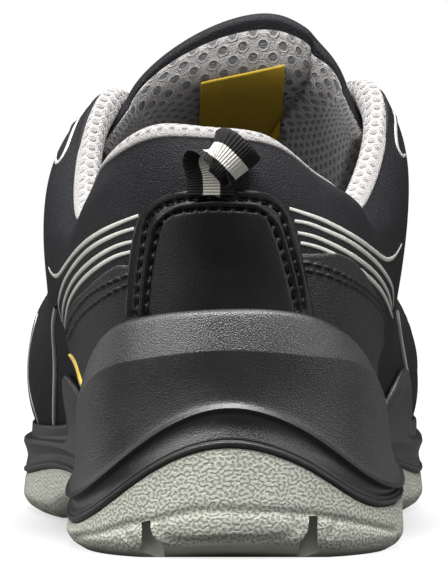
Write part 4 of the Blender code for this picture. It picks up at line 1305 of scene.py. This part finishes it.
# The ridge between the two seams is the inner seam moved outward and up, in picture columns and rows.
ridge_table = []
for column, row in PANEL_SEAMS[1]:
    outward = 0.0
    if column < 165:
        outward = -4.3
    if column > 270:
        outward = 4.3
    upward = 4.6 if row < 214 else 1.5
    ridge_table.append((column + outward, row - upward))
press(heel_panel, panel_runs, 0.22 * MM, 0.7 * MM)
press(heel_panel, dashes(panel_runs), 0.75 * MM, 0.42 * MM)
press(heel_panel, [trace(panel_surface, ridge_table)], -0.45 * MM, 0.85 * MM)
leather = hide_material("smooth_dark_leather", (0.0028, 0.0026, 0.003), (0.005, 0.0046, 0.005), 0.38,
                        3000.0, 0.04 * MM, shine=0.22)
fit(heel_panel, leather, "panel_leather", "heel_panel")
thread_grids = []
for run in panel_runs:
    thread_grids += stitches(run, lift=-0.42 * MM)

# Side counters.
# Overlays of dark microfibre along the heel sides, from the heel panel forward to the midsole's rim.
# Two rows of stitches hold each top edge, which is cut raw; the outer one has a small yellow accent.
COUNTER_THICKNESS = 1.0 * MM
COUNTER_ROUNDING = 0.8 * MM
RAW_EDGE_WIDTH = 0.42 * MM
COUNTER_ROWS = (
    ("rear", 1.75, 0.570, 0.606),
    ("first", 2.30, 0.530, 0.575),
    ("second", 2.90, 0.485, 0.516),
    ("third", 3.50, 0.440, 0.450),
    ("fourth", 4.00, 0.380, 0.385),
    ("front", 4.55, 0.290, 0.300),
)
COUNTER_SEAMS = {
    "lateral": (
        ((127, 275.4), (108.9, 283), (90.5, 294.5), (78.3, 307.5), (70.6, 319.8), (66.6, 333.5)),
        ((127, 285.0), (108.9, 293.7), (92.1, 306), (79.8, 318.2), (72.6, 330.5), (68.6, 340)),
    ),
    "medial": (
        ((304.5, 262.6), (316.7, 264.8), (334.3, 270.7), (351.9, 279.5), (366.5, 289.8), (378.3, 301.5),
         (387.1, 316.2), (392.5, 333)),
        ((307, 270.3), (324, 274.3), (341.6, 280.9), (357.7, 289.8), (371, 300), (381.2, 313.2),
         (388.0, 327)),
    ),
}
counter_cloth = hide_material("counter_microfibre", (0.004, 0.004, 0.0046), (0.008, 0.008, 0.009), 0.5,
                              2300.0, 0.12 * MM, shine=0.28)
counter_knots = np.array([row[1:] for row in COUNTER_ROWS])
raw_grids = []
for side, sign in (("lateral", 1.0), ("medial", -1.0)):
    at = np.linspace(-1.2, len(counter_knots) - 1, 250)
    table = spline_weights(np.clip(at, 0, None), len(counter_knots), False) @ counter_knots
    table[:, 0] += np.minimum(at, 0.0) * 0.9
    place = np.mod(table[:, 0] * sign, SECTION_COUNT)
    top_edge = HEEL_SEAT + table[:, 1 if sign > 0 else 2] * HEEL_RISE
    foot_edge = rim_height(place) - 2.0 * MM
    top_edge = np.maximum(top_edge, foot_edge + 2.5 * MM)
    grid = []
    for share in np.linspace(0.0, 1.0, 84):
        share = 1.0 - (1.0 - share) ** 1.5
        height = foot_edge + (top_edge - foot_edge) * share
        edge = top_edge - height
        rise = rounded_edge(edge, COUNTER_ROUNDING, COUNTER_THICKNESS)
        grid.append(wall_at_height(place, height, rise + 0.1 * MM))
    counter = skin(f"counter_{side}_overlay", grid, flip=sign < 0)
    edge_facing = last_normal(place, v_at_height(place, top_edge))
    edge_run = resample(wall_at_height(place, top_edge - 0.1 * MM, 0.5 * MM), edge_facing, RUN_PITCH)
    raw_grids.append(ribbon(edge_run, (RAW_EDGE_WIDTH, RAW_EDGE_WIDTH), 0.12 * MM))
    counter_surface = surface_of(counter)
    counter_runs = [trace(counter_surface, table) for table in COUNTER_SEAMS[side]]
    press(counter, dashes(counter_runs), 0.6 * MM, 0.42 * MM)
    fit(counter, counter_cloth, "counter_microfibre", f"counter_{side}")
    for run in counter_runs:
        thread_grids += stitches(run, lift=-0.34 * MM)
raw_cloth = hide_material("raw_cut_edge", (0.05, 0.05, 0.052), (0.14, 0.135, 0.13), 0.9,
                          2400.0, 0.2 * MM, shine=0.1)
raw_edges = join_grids("counter_raw_edges", raw_grids)
fit(raw_edges, raw_cloth, "counter_microfibre")

# The accent is a spindle of yellow film between two picture places on the outer counter.
ACCENT_ENDS = ((66.8, 354), (72.6, 390))
ACCENT_WIDTHS = np.array((0.3, 3.0, 4.2, 3.2, 0.4)) * MM
ACCENT_POINTS = 80
lateral_surface = surface_of(bpy.data.objects["counter_lateral_overlay"])
accent_start, accent_facing = from_behind(lateral_surface, *ACCENT_ENDS[0])
accent_end = from_behind(lateral_surface, *ACCENT_ENDS[1])[0]
accent_shares = np.linspace(0.0, 1.0, ACCENT_POINTS)[:, None]
accent_line = accent_start + (accent_end - accent_start) * accent_shares
accent_run = calm((accent_line, np.repeat([accent_facing], ACCENT_POINTS, axis=0)), lateral_surface, 0)
accent = join_grids("counter_accent", [ribbon(accent_run, ACCENT_WIDTHS, 0.6 * MM)])
accent_film = hide_material("yellow_accent", (0.55, 0.37, 0.05), (0.70, 0.52, 0.14), 0.4, 1500.0, 0.05 * MM)
fit(accent, accent_film, "counter_microfibre")
thread = hide_material("black_thread", (0.002, 0.002, 0.0022), (0.004, 0.004, 0.0045), 0.8,
                       3000.0, 0.1 * MM, shine=0.1)
seam_threads = join_grids("heel_seam_threads", thread_grids, closed=True)
fit(seam_threads, thread, "panel_leather")

# Upper seams.
# The quarters meet in a fine seam above the heel panel, and toe cap, eyestay and quarters are sewn down
# with two rows of black thread beside a pressed seam; wear has left soft creases at vamp and heel.
BACK_SEAM = ((212.0, 129), (211.6, 136), (212.2, 144), (212.0, 152))
BACK_SEAM_WIDTH = 0.45 * MM
back_seam_run = ribbon(trace(shell_surface, BACK_SEAM), (BACK_SEAM_WIDTH, BACK_SEAM_WIDTH), 0.06 * MM)
back_seam = join_grids("back_seam_line", [back_seam_run])
fit(back_seam, thread, "upper_microfibre")


def lay(table):
    """A run of points and normals on the last through places around it and up it."""
    table = np.array(table, dtype=float)
    at = spline_weights(np.linspace(0.0, len(table) - 1, len(table) * 24), len(table), False) @ table
    points = last_point(at[:, 0], at[:, 1])
    normals = last_normal(at[:, 0], at[:, 1])
    return resample(points, normals, RUN_PITCH)


def other_side(table):
    """The same seam on the medial side."""
    return tuple((SECTION_COUNT - place, level) for place, level in table)


# Each seam as places around the shoe and shares of the way up to the opening.
TOE_CAP_HALF = ((8.05, 0.30), (8.35, 0.42), (8.8, 0.50), (9.4, 0.545))
EYESTAY_HALF = ((5.05, 0.90), (5.35, 0.82), (6.0, 0.745), (6.8, 0.715), (7.6, 0.72), (8.4, 0.755),
                (9.2, 0.80))
QUARTER = ((6.3, 0.74), (6.55, 0.62), (6.9, 0.50), (7.35, 0.38), (7.9, 0.28))
UPPER_SEAMS = (
    TOE_CAP_HALF + ((10.0, 0.56),) + other_side(TOE_CAP_HALF)[::-1],
    EYESTAY_HALF + ((10.0, 0.82),) + other_side(EYESTAY_HALF)[::-1],
    QUARTER,
    other_side(QUARTER),
)
press(shell, [lay(table) for table in UPPER_SEAMS], 0.55 * MM, 0.9 * MM)
VAMP_CREASES = (
    ((8.15, 0.66), (8.7, 0.72), (9.3, 0.755), (9.9, 0.77), (10.4, 0.765)),
    ((9.2, 0.70), (9.8, 0.72), (10.5, 0.715), (11.2, 0.68), (11.8, 0.62)),
)
HEEL_CREASES = (
    ((2.1, 0.83), (2.8, 0.80), (3.5, 0.79), (4.1, 0.76)),
    ((17.9, 0.84), (17.2, 0.81), (16.5, 0.80), (15.9, 0.77)),
)
press(shell, [lay(table) for table in VAMP_CREASES], 0.7 * MM, 3.2 * MM)
press(shell, [lay(table) for table in HEEL_CREASES], 0.5 * MM, 3.6 * MM)
upper_thread_grids = []
for table in UPPER_SEAMS:
    for shift in (0.028, 0.052):
        raised = [(place, level + shift) for place, level in table]
        upper_thread_grids += stitches(lay(raised), lift=-0.05 * MM)
upper_threads = join_grids("upper_seam_threads", upper_thread_grids, closed=True)
fit(upper_threads, thread, "upper_microfibre")

# Tongue.
# Padded tongue with a dark face, a dark rim around its free edge and pale spacer mesh on its inner side.
# It is sewn in at the throat and runs under the edges of the eyestay.
TONGUE_THICKNESS = 4 * MM
TONGUE_GAP = 0.8 * MM
TONGUE_RISE = 15 * MM
ROLL_SECTION = 5.25
THROAT_SECTION = 8.4
TONGUE_TOP = (
    ("lateral", 0.12),
    ("lateral_wing", 0.40),
    ("lateral_crown", 0.69),
    ("crown", 0.91),
    ("medial_crown", 0.90),
    ("medial_wing", 0.50),
    ("medial", 0.12),
)
TONGUE_ACROSS = 72
TONGUE_SIDE = 8


def bridge(u, v, lift, count, depth=None):
    """Points across the opening from the lateral edge to the medial one, as an arch."""
    ends = []
    for side in (u, SECTION_COUNT - u):
        place = np.array([side])
        at = np.array([v])
        if depth is None:
            end = last_point(place, at) + last_normal(place, at) * lift
        else:
            end = inner_point(place, at, depth)
        ends.append((end[0], last_upward(place, at)[0]))
    (start, rise), (end, fall) = ends
    span = np.linalg.norm(end - start)
    handle = span * 0.22
    first = start + rise * handle
    second = end + fall * handle
    share = np.linspace(0.0, 1.0, count + 1)[:, None]
    rest = 1.0 - share
    near_start = rest ** 3 * start + 3 * rest ** 2 * share * first
    return near_start + 3 * rest * share ** 2 * second + share ** 3 * end


tongue_rows = []
for place in np.linspace(ROLL_SECTION, THROAT_SECTION, 70):
    gap = TONGUE_GAP * (1.0 + 2.0 * float(smooth(7.0, 9.0, place)))
    low = 0.14 + 0.12 * float(smooth(0.0, 0.45, (place - ROLL_SECTION) / (THROAT_SECTION - ROLL_SECTION)))
    v = np.linspace(1.0 - low, 1.0, TONGUE_SIDE + 1)
    lateral = inner_point(np.full(TONGUE_SIDE + 1, place), v, gap)[:-1]
    medial = inner_point(np.full(TONGUE_SIDE + 1, SECTION_COUNT - place), v, gap)[::-1][1:]
    arch = bridge(place, 1.0, 0.0, TONGUE_ACROSS, gap)
    tongue_rows.append(np.concatenate((lateral, arch, medial)))
first_row = tongue_rows[0]
shares = np.clip((np.arange(len(first_row)) - TONGUE_SIDE) / TONGUE_ACROSS, 0.0, 1.0) * (len(TONGUE_TOP) - 1)
tongue_lift = spline_weights(shares, len(TONGUE_TOP), False) @ np.array([row[1] for row in TONGUE_TOP])
tongue_lift[:TONGUE_SIDE] *= np.linspace(0.2, 1.0, TONGUE_SIDE)
tongue_lift[-TONGUE_SIDE:] *= np.linspace(1.0, 0.2, TONGUE_SIDE)
FOLD_PLACE = 0.775
FOLD_WIDTH = 0.045
FOLD_DEPTH = 2.6 * MM
fold_shape = np.exp(-((shares / (len(TONGUE_TOP) - 1) - FOLD_PLACE) / FOLD_WIDTH) ** 2)
free_rows = []
for step in np.linspace(1.0, 0.0, 25)[:-1]:
    row = first_row.copy()
    row[:, 2] += tongue_lift * TONGUE_RISE * step
    row[:, 1] -= tongue_lift * TONGUE_RISE * 0.15 * step
    free_rows.append(row)
tongue_face = np.array(free_rows + tongue_rows)
ease(tongue_face[1:61], 70)


def sheet_normals(points, toward):
    """Unit normals of a grid of points, on the side of a direction."""
    across = np.gradient(points, axis=1)
    along = np.gradient(points, axis=0)
    normal = unit(np.cross(across, along))
    middle = normal[len(points) // 3, points.shape[1] // 2]
    return normal if np.dot(middle, toward) > 0 else -normal


tongue_out = sheet_normals(tongue_face, (0.0, 1.0, 0.3))
tongue_row = np.arange(len(tongue_face))
fold_fade = (1.0 - smooth(55, 80, tongue_row)) * (0.25 + 0.75 * smooth(0, 26, tongue_row))
tongue_face = tongue_face + tongue_out * (FOLD_DEPTH * fold_shape[None, :] * fold_fade[:, None])[..., None]
tongue_out = sheet_normals(tongue_face, (0.0, 1.0, 0.3))
tongue_back = tongue_face - tongue_out * TONGUE_THICKNESS
up = unit(tongue_face[0] - tongue_face[3])
middle = (tongue_face[0] + tongue_back[0]) / 2
half = (tongue_face[0] - tongue_back[0]) / 2
rim_rows = []
for turn in (165, 140, 115, 90, 65, 40, 15):
    angle = math.radians(turn)
    rim_rows.append(middle + half * math.cos(angle) + up * math.sin(angle) * TONGUE_THICKNESS * 0.45)
rim_back = [tongue_back[0] + (tongue_back[1] - tongue_back[0]) * step for step in (4.6, 3.4, 2.2, 1.0, 0.0)]
tongue_front = skin("tongue_face", np.concatenate((rim_back, rim_rows, tongue_face)))
fit(tongue_front, microfibre, "tongue_mesh", "tongue")
pad_depth = 0.9 * MM * smooth(0.0, 1.0, np.arange(len(tongue_back) - 1) / 5.0) - 0.5 * MM
pad_rows = tongue_back[1:] - tongue_out[1:] * pad_depth[:, None, None]
side_columns = []
for column, far_column in ((0, 1), (-1, -2)):
    side = unit(tongue_back[1:, column] - tongue_back[1:, far_column])
    through = tongue_face[1:, column] - tongue_back[1:, column]
    wall = [tongue_back[1:, column] + through * share + side * 0.5 * MM for share in (0.15, 0.5, 0.95)]
    side_columns.append(np.stack(wall, axis=1))
pad_rows = np.concatenate((side_columns[0][:, ::-1], pad_rows, side_columns[1]), axis=1)
tongue_inner = skin("tongue_inner_mesh", pad_rows, flip=True)
tongue_cloth = mesh_material("tongue_spacer_mesh", (0.36, 0.345, 0.335), (0.10, 0.10, 0.105), 0.2,
                             pitch=3.3 * MM, row=2.4 * MM)
fit(tongue_inner, tongue_cloth, "tongue_mesh")

# Label.
# A plain mustard cloth label sewn to the tongue's inner side; it carries no print.
# It follows the tongue's curve from the fold toward the lateral side and runs down behind the collar.
LABEL_CORNERS = ((201, 81), (285, 63.5), (281, 138), (197, 138))
LABEL_THICKNESS = 0.5 * MM
LABEL_LIFT = 0.8 * MM


def grid_from_behind(surface, corners, columns, rows, lift):
    """A grid over four picture corners (top left, top right, bottom right, bottom left) on a surface."""
    corners = np.array(corners, dtype=float)
    grid = []
    for down in np.linspace(0.0, 1.0, rows):
        line = []
        left = corners[0] + (corners[3] - corners[0]) * down
        right = corners[1] + (corners[2] - corners[1]) * down
        for across in np.linspace(0.0, 1.0, columns):
            column, row = left + (right - left) * across
            point, normal = from_behind(surface, column, row)
            line.append(point + normal * lift)
        grid.append(line)
    return np.array(grid)


def thicken(piece, thickness):
    """Give a thin piece its thickness and keep the result as its mesh."""
    modifier = piece.modifiers.new("thickness", "SOLIDIFY")
    modifier.thickness = thickness
    modifier.offset = 0.0
    apply_modifiers(piece)


label_grid = grid_from_behind(surface_of(tongue_inner), LABEL_CORNERS, 40, 36, LABEL_LIFT)
label = skin("tongue_label", label_grid)
thicken(label, LABEL_THICKNESS)
label_cloth, tree, shader, place = new_material("mustard_label")
label_weave = noise(tree, place.outputs["Object"], 900.0, 3.0)
label_base = mix_colour(tree, label_weave, (0.22, 0.14, 0.0015), (0.35, 0.23, 0.002))
tree.links.new(label_base, shader.inputs["Base Color"])
shader.inputs["Roughness"].default_value = 0.75
bump(tree, shader, label_weave, 0.15 * MM)
fit(label, label_cloth, "tongue_mesh")

# Pull loop.
# Ribbed webbing, dark with a pale middle band, cut to one strip and folded over on itself.
# Both its ends are sewn in under the heel panel's top edge, and the fold leans to the right.
LOOP_WIDTH = 11.6 * MM
LOOP_THICKNESS = 1.3 * MM


def strip_grid(path, sideways, width, thickness, across=12):
    """A flat strip with rounded edges along a path: rows of points round its section."""
    path = np.array(path)
    sideways = np.array(sideways)
    run = unit(np.gradient(path, axis=0))
    side = unit(sideways - run * (sideways * run).sum(axis=1, keepdims=True))
    face = np.cross(side, run)
    ring = []
    flat = np.linspace(-1.0, 1.0, across)
    for places, sign in ((flat, 1.0), (flat[::-1], -1.0)):
        for x in places:
            ring.append((x, sign * math.sqrt(max(1.0 - abs(x) ** 8, 0.0))))
    rows = []
    for x, up in ring:
        rows.append(path + side * x * width / 2 + face * up * thickness / 2)
    return np.transpose(np.array(rows), (1, 0, 2))


# The strip's middle line as picture columns and rows, its distance behind the shell in millimetres
# and its tilt in degrees.
LOOP_TURN = (
    (211, 195, 2.2, 0),
    (211, 186, 2.2, 0),
    (210.5, 177, 2.3, 0),
    (209, 169, 2.8, 4),
    (206.5, 161, 3.7, 14),
    (208, 154, 5.0, 28),
    (213.5, 149.5, 6.3, 37),
    (221, 150.5, 7.1, 41),
    (229, 157, 7.3, 42),
    (236.5, 165, 6.5, 42),
    (241, 170.5, 4.9, 40),
    (239.5, 172, 3.0, 32),
    (231, 173, 1.5, 16),
    (220, 181, 0.9, 4),
    (213, 195, 0.9, 0),
)
RIB_PITCH = 0.75 * MM
RIB_RISE = 0.06 * MM
loop_knots = np.array(LOOP_TURN, dtype=float)
loop_table = spline_weights(np.linspace(0, len(loop_knots) - 1, 360), len(loop_knots), False) @ loop_knots
loop_path = []
loop_side = []
for column, row, stand, tilt in loop_table:
    point, normal = from_behind(shell_surface, column, row)
    loop_path.append(point - np.array((0.0, stand * MM, 0.0)))
    loop_side.append((math.cos(math.radians(tilt)), 0.0, math.sin(math.radians(tilt))))
loop_rings = strip_grid(loop_path, loop_side, LOOP_WIDTH, LOOP_THICKNESS, 28)
loop_centre = loop_rings.mean(axis=1, keepdims=True)
loop_rib = RIB_RISE * np.cos(2 * np.pi * run_length(loop_centre[:, 0]) / RIB_PITCH)
loop_face = unit(np.cross(np.gradient(loop_rings, axis=1), np.gradient(loop_rings, axis=0)))
loop_rings = loop_rings + loop_face * loop_rib[:, None, None]
pull_loop = skin("pull_loop_webbing", loop_rings, closed=True)
webbing, tree, shader, place = new_material("ribbed_webbing")
webbing_place = separate(tree, place.outputs["UV"])
webbing_side = math_node(tree, "PINGPONG", webbing_place["X"], LOOP_WIDTH * 1.06)
webbing_away = math_node(tree, "ABSOLUTE", math_node(tree, "SUBTRACT", webbing_side, LOOP_WIDTH * 0.53))
webbing_pale = remap(tree, webbing_away, 2.15 * MM, 1.95 * MM)
webbing_yarn = noise(tree, place.outputs["Object"], 2600.0, 2.0)
webbing_turn = math_node(tree, "MULTIPLY", webbing_place["Y"], 2 * math.pi / RIB_PITCH)
webbing_wave = math_node(tree, "SINE", webbing_turn)
webbing_dark = mix_colour(tree, webbing_yarn, (0.002, 0.002, 0.0024), (0.010, 0.0095, 0.0105))
webbing_light = mix_colour(tree, webbing_yarn, (0.30, 0.28, 0.25), (0.62, 0.60, 0.55))
tree.links.new(mix_colour(tree, webbing_pale, webbing_dark, webbing_light), shader.inputs["Base Color"])
shader.inputs["Roughness"].default_value = 0.8
shader.inputs["Specular IOR Level"].default_value = 0.2
bump(tree, shader, math_node(tree, "ADD", webbing_wave, webbing_yarn), 0.08 * MM)
fit(pull_loop, webbing, "loop_webbing", "pull_loop")

# Lace.
# A flat woven lace in dark yarn, crossing the tongue in five bars that dip into the eyelets at each end.
# Each eyelet is a rounded ring of cloth about its hole, with no metal.
LACE_WIDTH = 6 * MM
LACE_THICKNESS = 1.6 * MM
LACE_BARS = 5
lace_lift = LACE_THICKNESS / 2 + FIT_GAP * 2
lace_yarn = hide_material("lace_yarn", (0.02, 0.02, 0.022), (0.032, 0.032, 0.035), 0.85, 2200.0, 0.15 * MM)
eyelet_grids = []


def eyelet_ring(centre, along, normal):
    """A rounded ring of punched-through cloth about a lace hole."""
    first = along / np.linalg.norm(along)
    second = np.cross(normal, first)
    second /= np.linalg.norm(second)
    centre = centre - normal * 0.2 * MM
    rings = []
    for turn in np.linspace(0.0, 2 * math.pi, 25):
        out = first * math.cos(turn) * 1.15 + second * math.sin(turn)
        ring = []
        for roll in np.linspace(0.0, 2 * math.pi, 9)[:-1]:
            ring.append(centre + out * (3.4 + 0.8 * math.cos(roll)) * MM + normal * 0.5 * math.sin(roll) * MM)
        rings.append(ring)
    return rings


for index, place in enumerate(np.linspace(6.05, 8.0, LACE_BARS)):
    v = np.linspace(0.93, 1.0, 10)
    sink = (-2.6 * (1.0 - np.clip((v - 0.93) / 0.02, 0.0, 1.0)) ** 2 * MM)[:, None]
    lateral_u = np.full(10, place)
    medial_u = np.full(10, SECTION_COUNT - place)
    lateral = last_point(lateral_u, v) + last_normal(lateral_u, v) * (lace_lift + sink)
    medial = (last_point(medial_u, v) + last_normal(medial_u, v) * (lace_lift + sink))[::-1]
    arch = bridge(place, 1.0, lace_lift, 40)[1:-1]
    path = np.concatenate((lateral, arch, medial))
    step = 0.05
    lateral_edge = last_point(lateral_u + step, v) - last_point(lateral_u - step, v)
    medial_edge = (last_point(medial_u - step, v) - last_point(medial_u + step, v))[::-1]
    middle = np.repeat([(lateral_edge[-1] + medial_edge[0]) / 2], len(arch), axis=0)
    sideways = np.concatenate((lateral_edge, middle, medial_edge))
    for hole in (2, -3):
        eyelet_grids.append(eyelet_ring(path[hole], lateral_edge[2] if hole > 0 else medial_edge[-3],
                                        last_normal(np.array([place if hole > 0 else SECTION_COUNT - place]),
                                                    np.array([0.943]))[0]))
    bar = skin(f"lace_run_{index + 1}", strip_grid(path, sideways, LACE_WIDTH, LACE_THICKNESS), closed=True)
    fit(bar, lace_yarn, "lace_cord", f"lace_bar_{index + 1}")

eyelets = join_grids("eyelet_rings", eyelet_grids, closed=True)
fit(eyelets, lace_yarn, "upper_microfibre")

# Camera, floor and light.
# The shoe is seen from straight behind, a little above the floor, through a long lens.
# A white floor and large soft lamps stand in for the studio.
picture_width = 448
picture_height = 570
sensor = 36.0

camera_data = bpy.data.cameras.new("camera")
camera_data.sensor_fit = "AUTO"
camera_data.sensor_width = sensor
camera_data.lens = VIEW_SLOPE * sensor / picture_height
camera_data.shift_x = (picture_width / 2 - OPTICAL_COLUMN) / picture_height
camera_data.shift_y = (HORIZON_ROW - picture_height / 2) / picture_height
camera_data.clip_end = 20
camera = bpy.data.objects.new("camera", camera_data)
scene.collection.objects.link(camera)
camera.location = (0.0, heel_back_y - CAMERA_DISTANCE, CAMERA_HEIGHT)
camera.rotation_euler = (math.radians(90), 0.0, 0.0)
scene.camera = camera

floor_mesh = bpy.data.meshes.new("floor")
floor_mesh.from_pydata([(-6, -6, 0), (6, -6, 0), (6, 6, 0), (-6, 6, 0)], [], [(0, 1, 2, 3)])
floor = bpy.data.objects.new("floor", floor_mesh)
scene.collection.objects.link(floor)
floor_material, tree, shader, place = new_material("white_floor")
floor_ray = tree.nodes.new("ShaderNodeLightPath")
shader.inputs["Base Color"].default_value = (0.07, 0.07, 0.07, 1.0)
shader.inputs["Roughness"].default_value = 0.8
shader.inputs["Specular IOR Level"].default_value = 0.0
shader.inputs["Emission Color"].default_value = (1.0, 1.0, 1.0, 1.0)
floor_values = {0: place.outputs["Object"], 1: (1.0, 0.42, 1.0)}
floor_near = add(tree, "ShaderNodeVectorMath", floor_values, operation="MULTIPLY").outputs["Vector"]
floor_far = add(tree, "ShaderNodeVectorMath", {0: floor_near}, operation="LENGTH").outputs["Value"]
# Seen by the camera, the floor glows less near the shoe: a painted shadow around it.
floor_glow_painted_shadow = remap(tree, floor_far, 0.02, 0.075, 0.3, 1.0)
floor_glow = math_node(tree, "MULTIPLY", floor_ray.outputs["Is Camera Ray"], floor_glow_painted_shadow)
tree.links.new(floor_glow, shader.inputs["Emission Strength"])
floor_mesh.materials.append(floor_material)

world = bpy.data.worlds.new("studio")
world.use_nodes = True
world_tree = world.node_tree
world_ray = world_tree.nodes.new("ShaderNodeLightPath")
world_tree.nodes["Background"].inputs["Color"].default_value = (1.0, 1.0, 1.0, 1.0)
world_share = remap(world_tree, world_ray.outputs["Is Camera Ray"], 0.0, 1.0, 0.05, 1.0)
world_tree.links.new(world_share, world_tree.nodes["Background"].inputs["Strength"])
scene.world = world
scene.view_settings.view_transform = "Standard"


def softbox(name, place, aim, size, power):
    """A square lamp that faces a point."""
    data = bpy.data.lights.new(name, "AREA")
    data.shape = "SQUARE"
    data.size = size
    data.energy = power
    lamp = bpy.data.objects.new(name, data)
    lamp.location = place
    lamp.rotation_euler = (Vector(aim) - Vector(place)).to_track_quat("-Z", "Y").to_euler()
    scene.collection.objects.link(lamp)


softbox("lamp_left", (-1.0, -0.6, 1.0), (0.0, -0.05, 0.06), 0.6, 16)
softbox("lamp_right", (1.1, -0.5, 0.6), (0.0, -0.05, 0.05), 0.6, 5)
softbox("lamp_top", (0.0, -0.30, 1.1), (0.0, -0.10, 0.05), 0.9, 50)
softbox("lamp_graze_left", (-1.3, 0.9, 0.3), (0.0, 0.12, 0.04), 0.6, 3)
softbox("lamp_graze_right", (1.3, 0.9, 0.25), (0.0, 0.12, 0.04), 0.6, 1.5)
softbox("lamp_low_left", (-1.2, -1.0, 0.55), (0.0, 0.0, 0.09), 0.6, 6)
softbox("lamp_low_right", (1.3, -0.7, 0.3), (0.0, 0.0, 0.06), 0.6, 3)
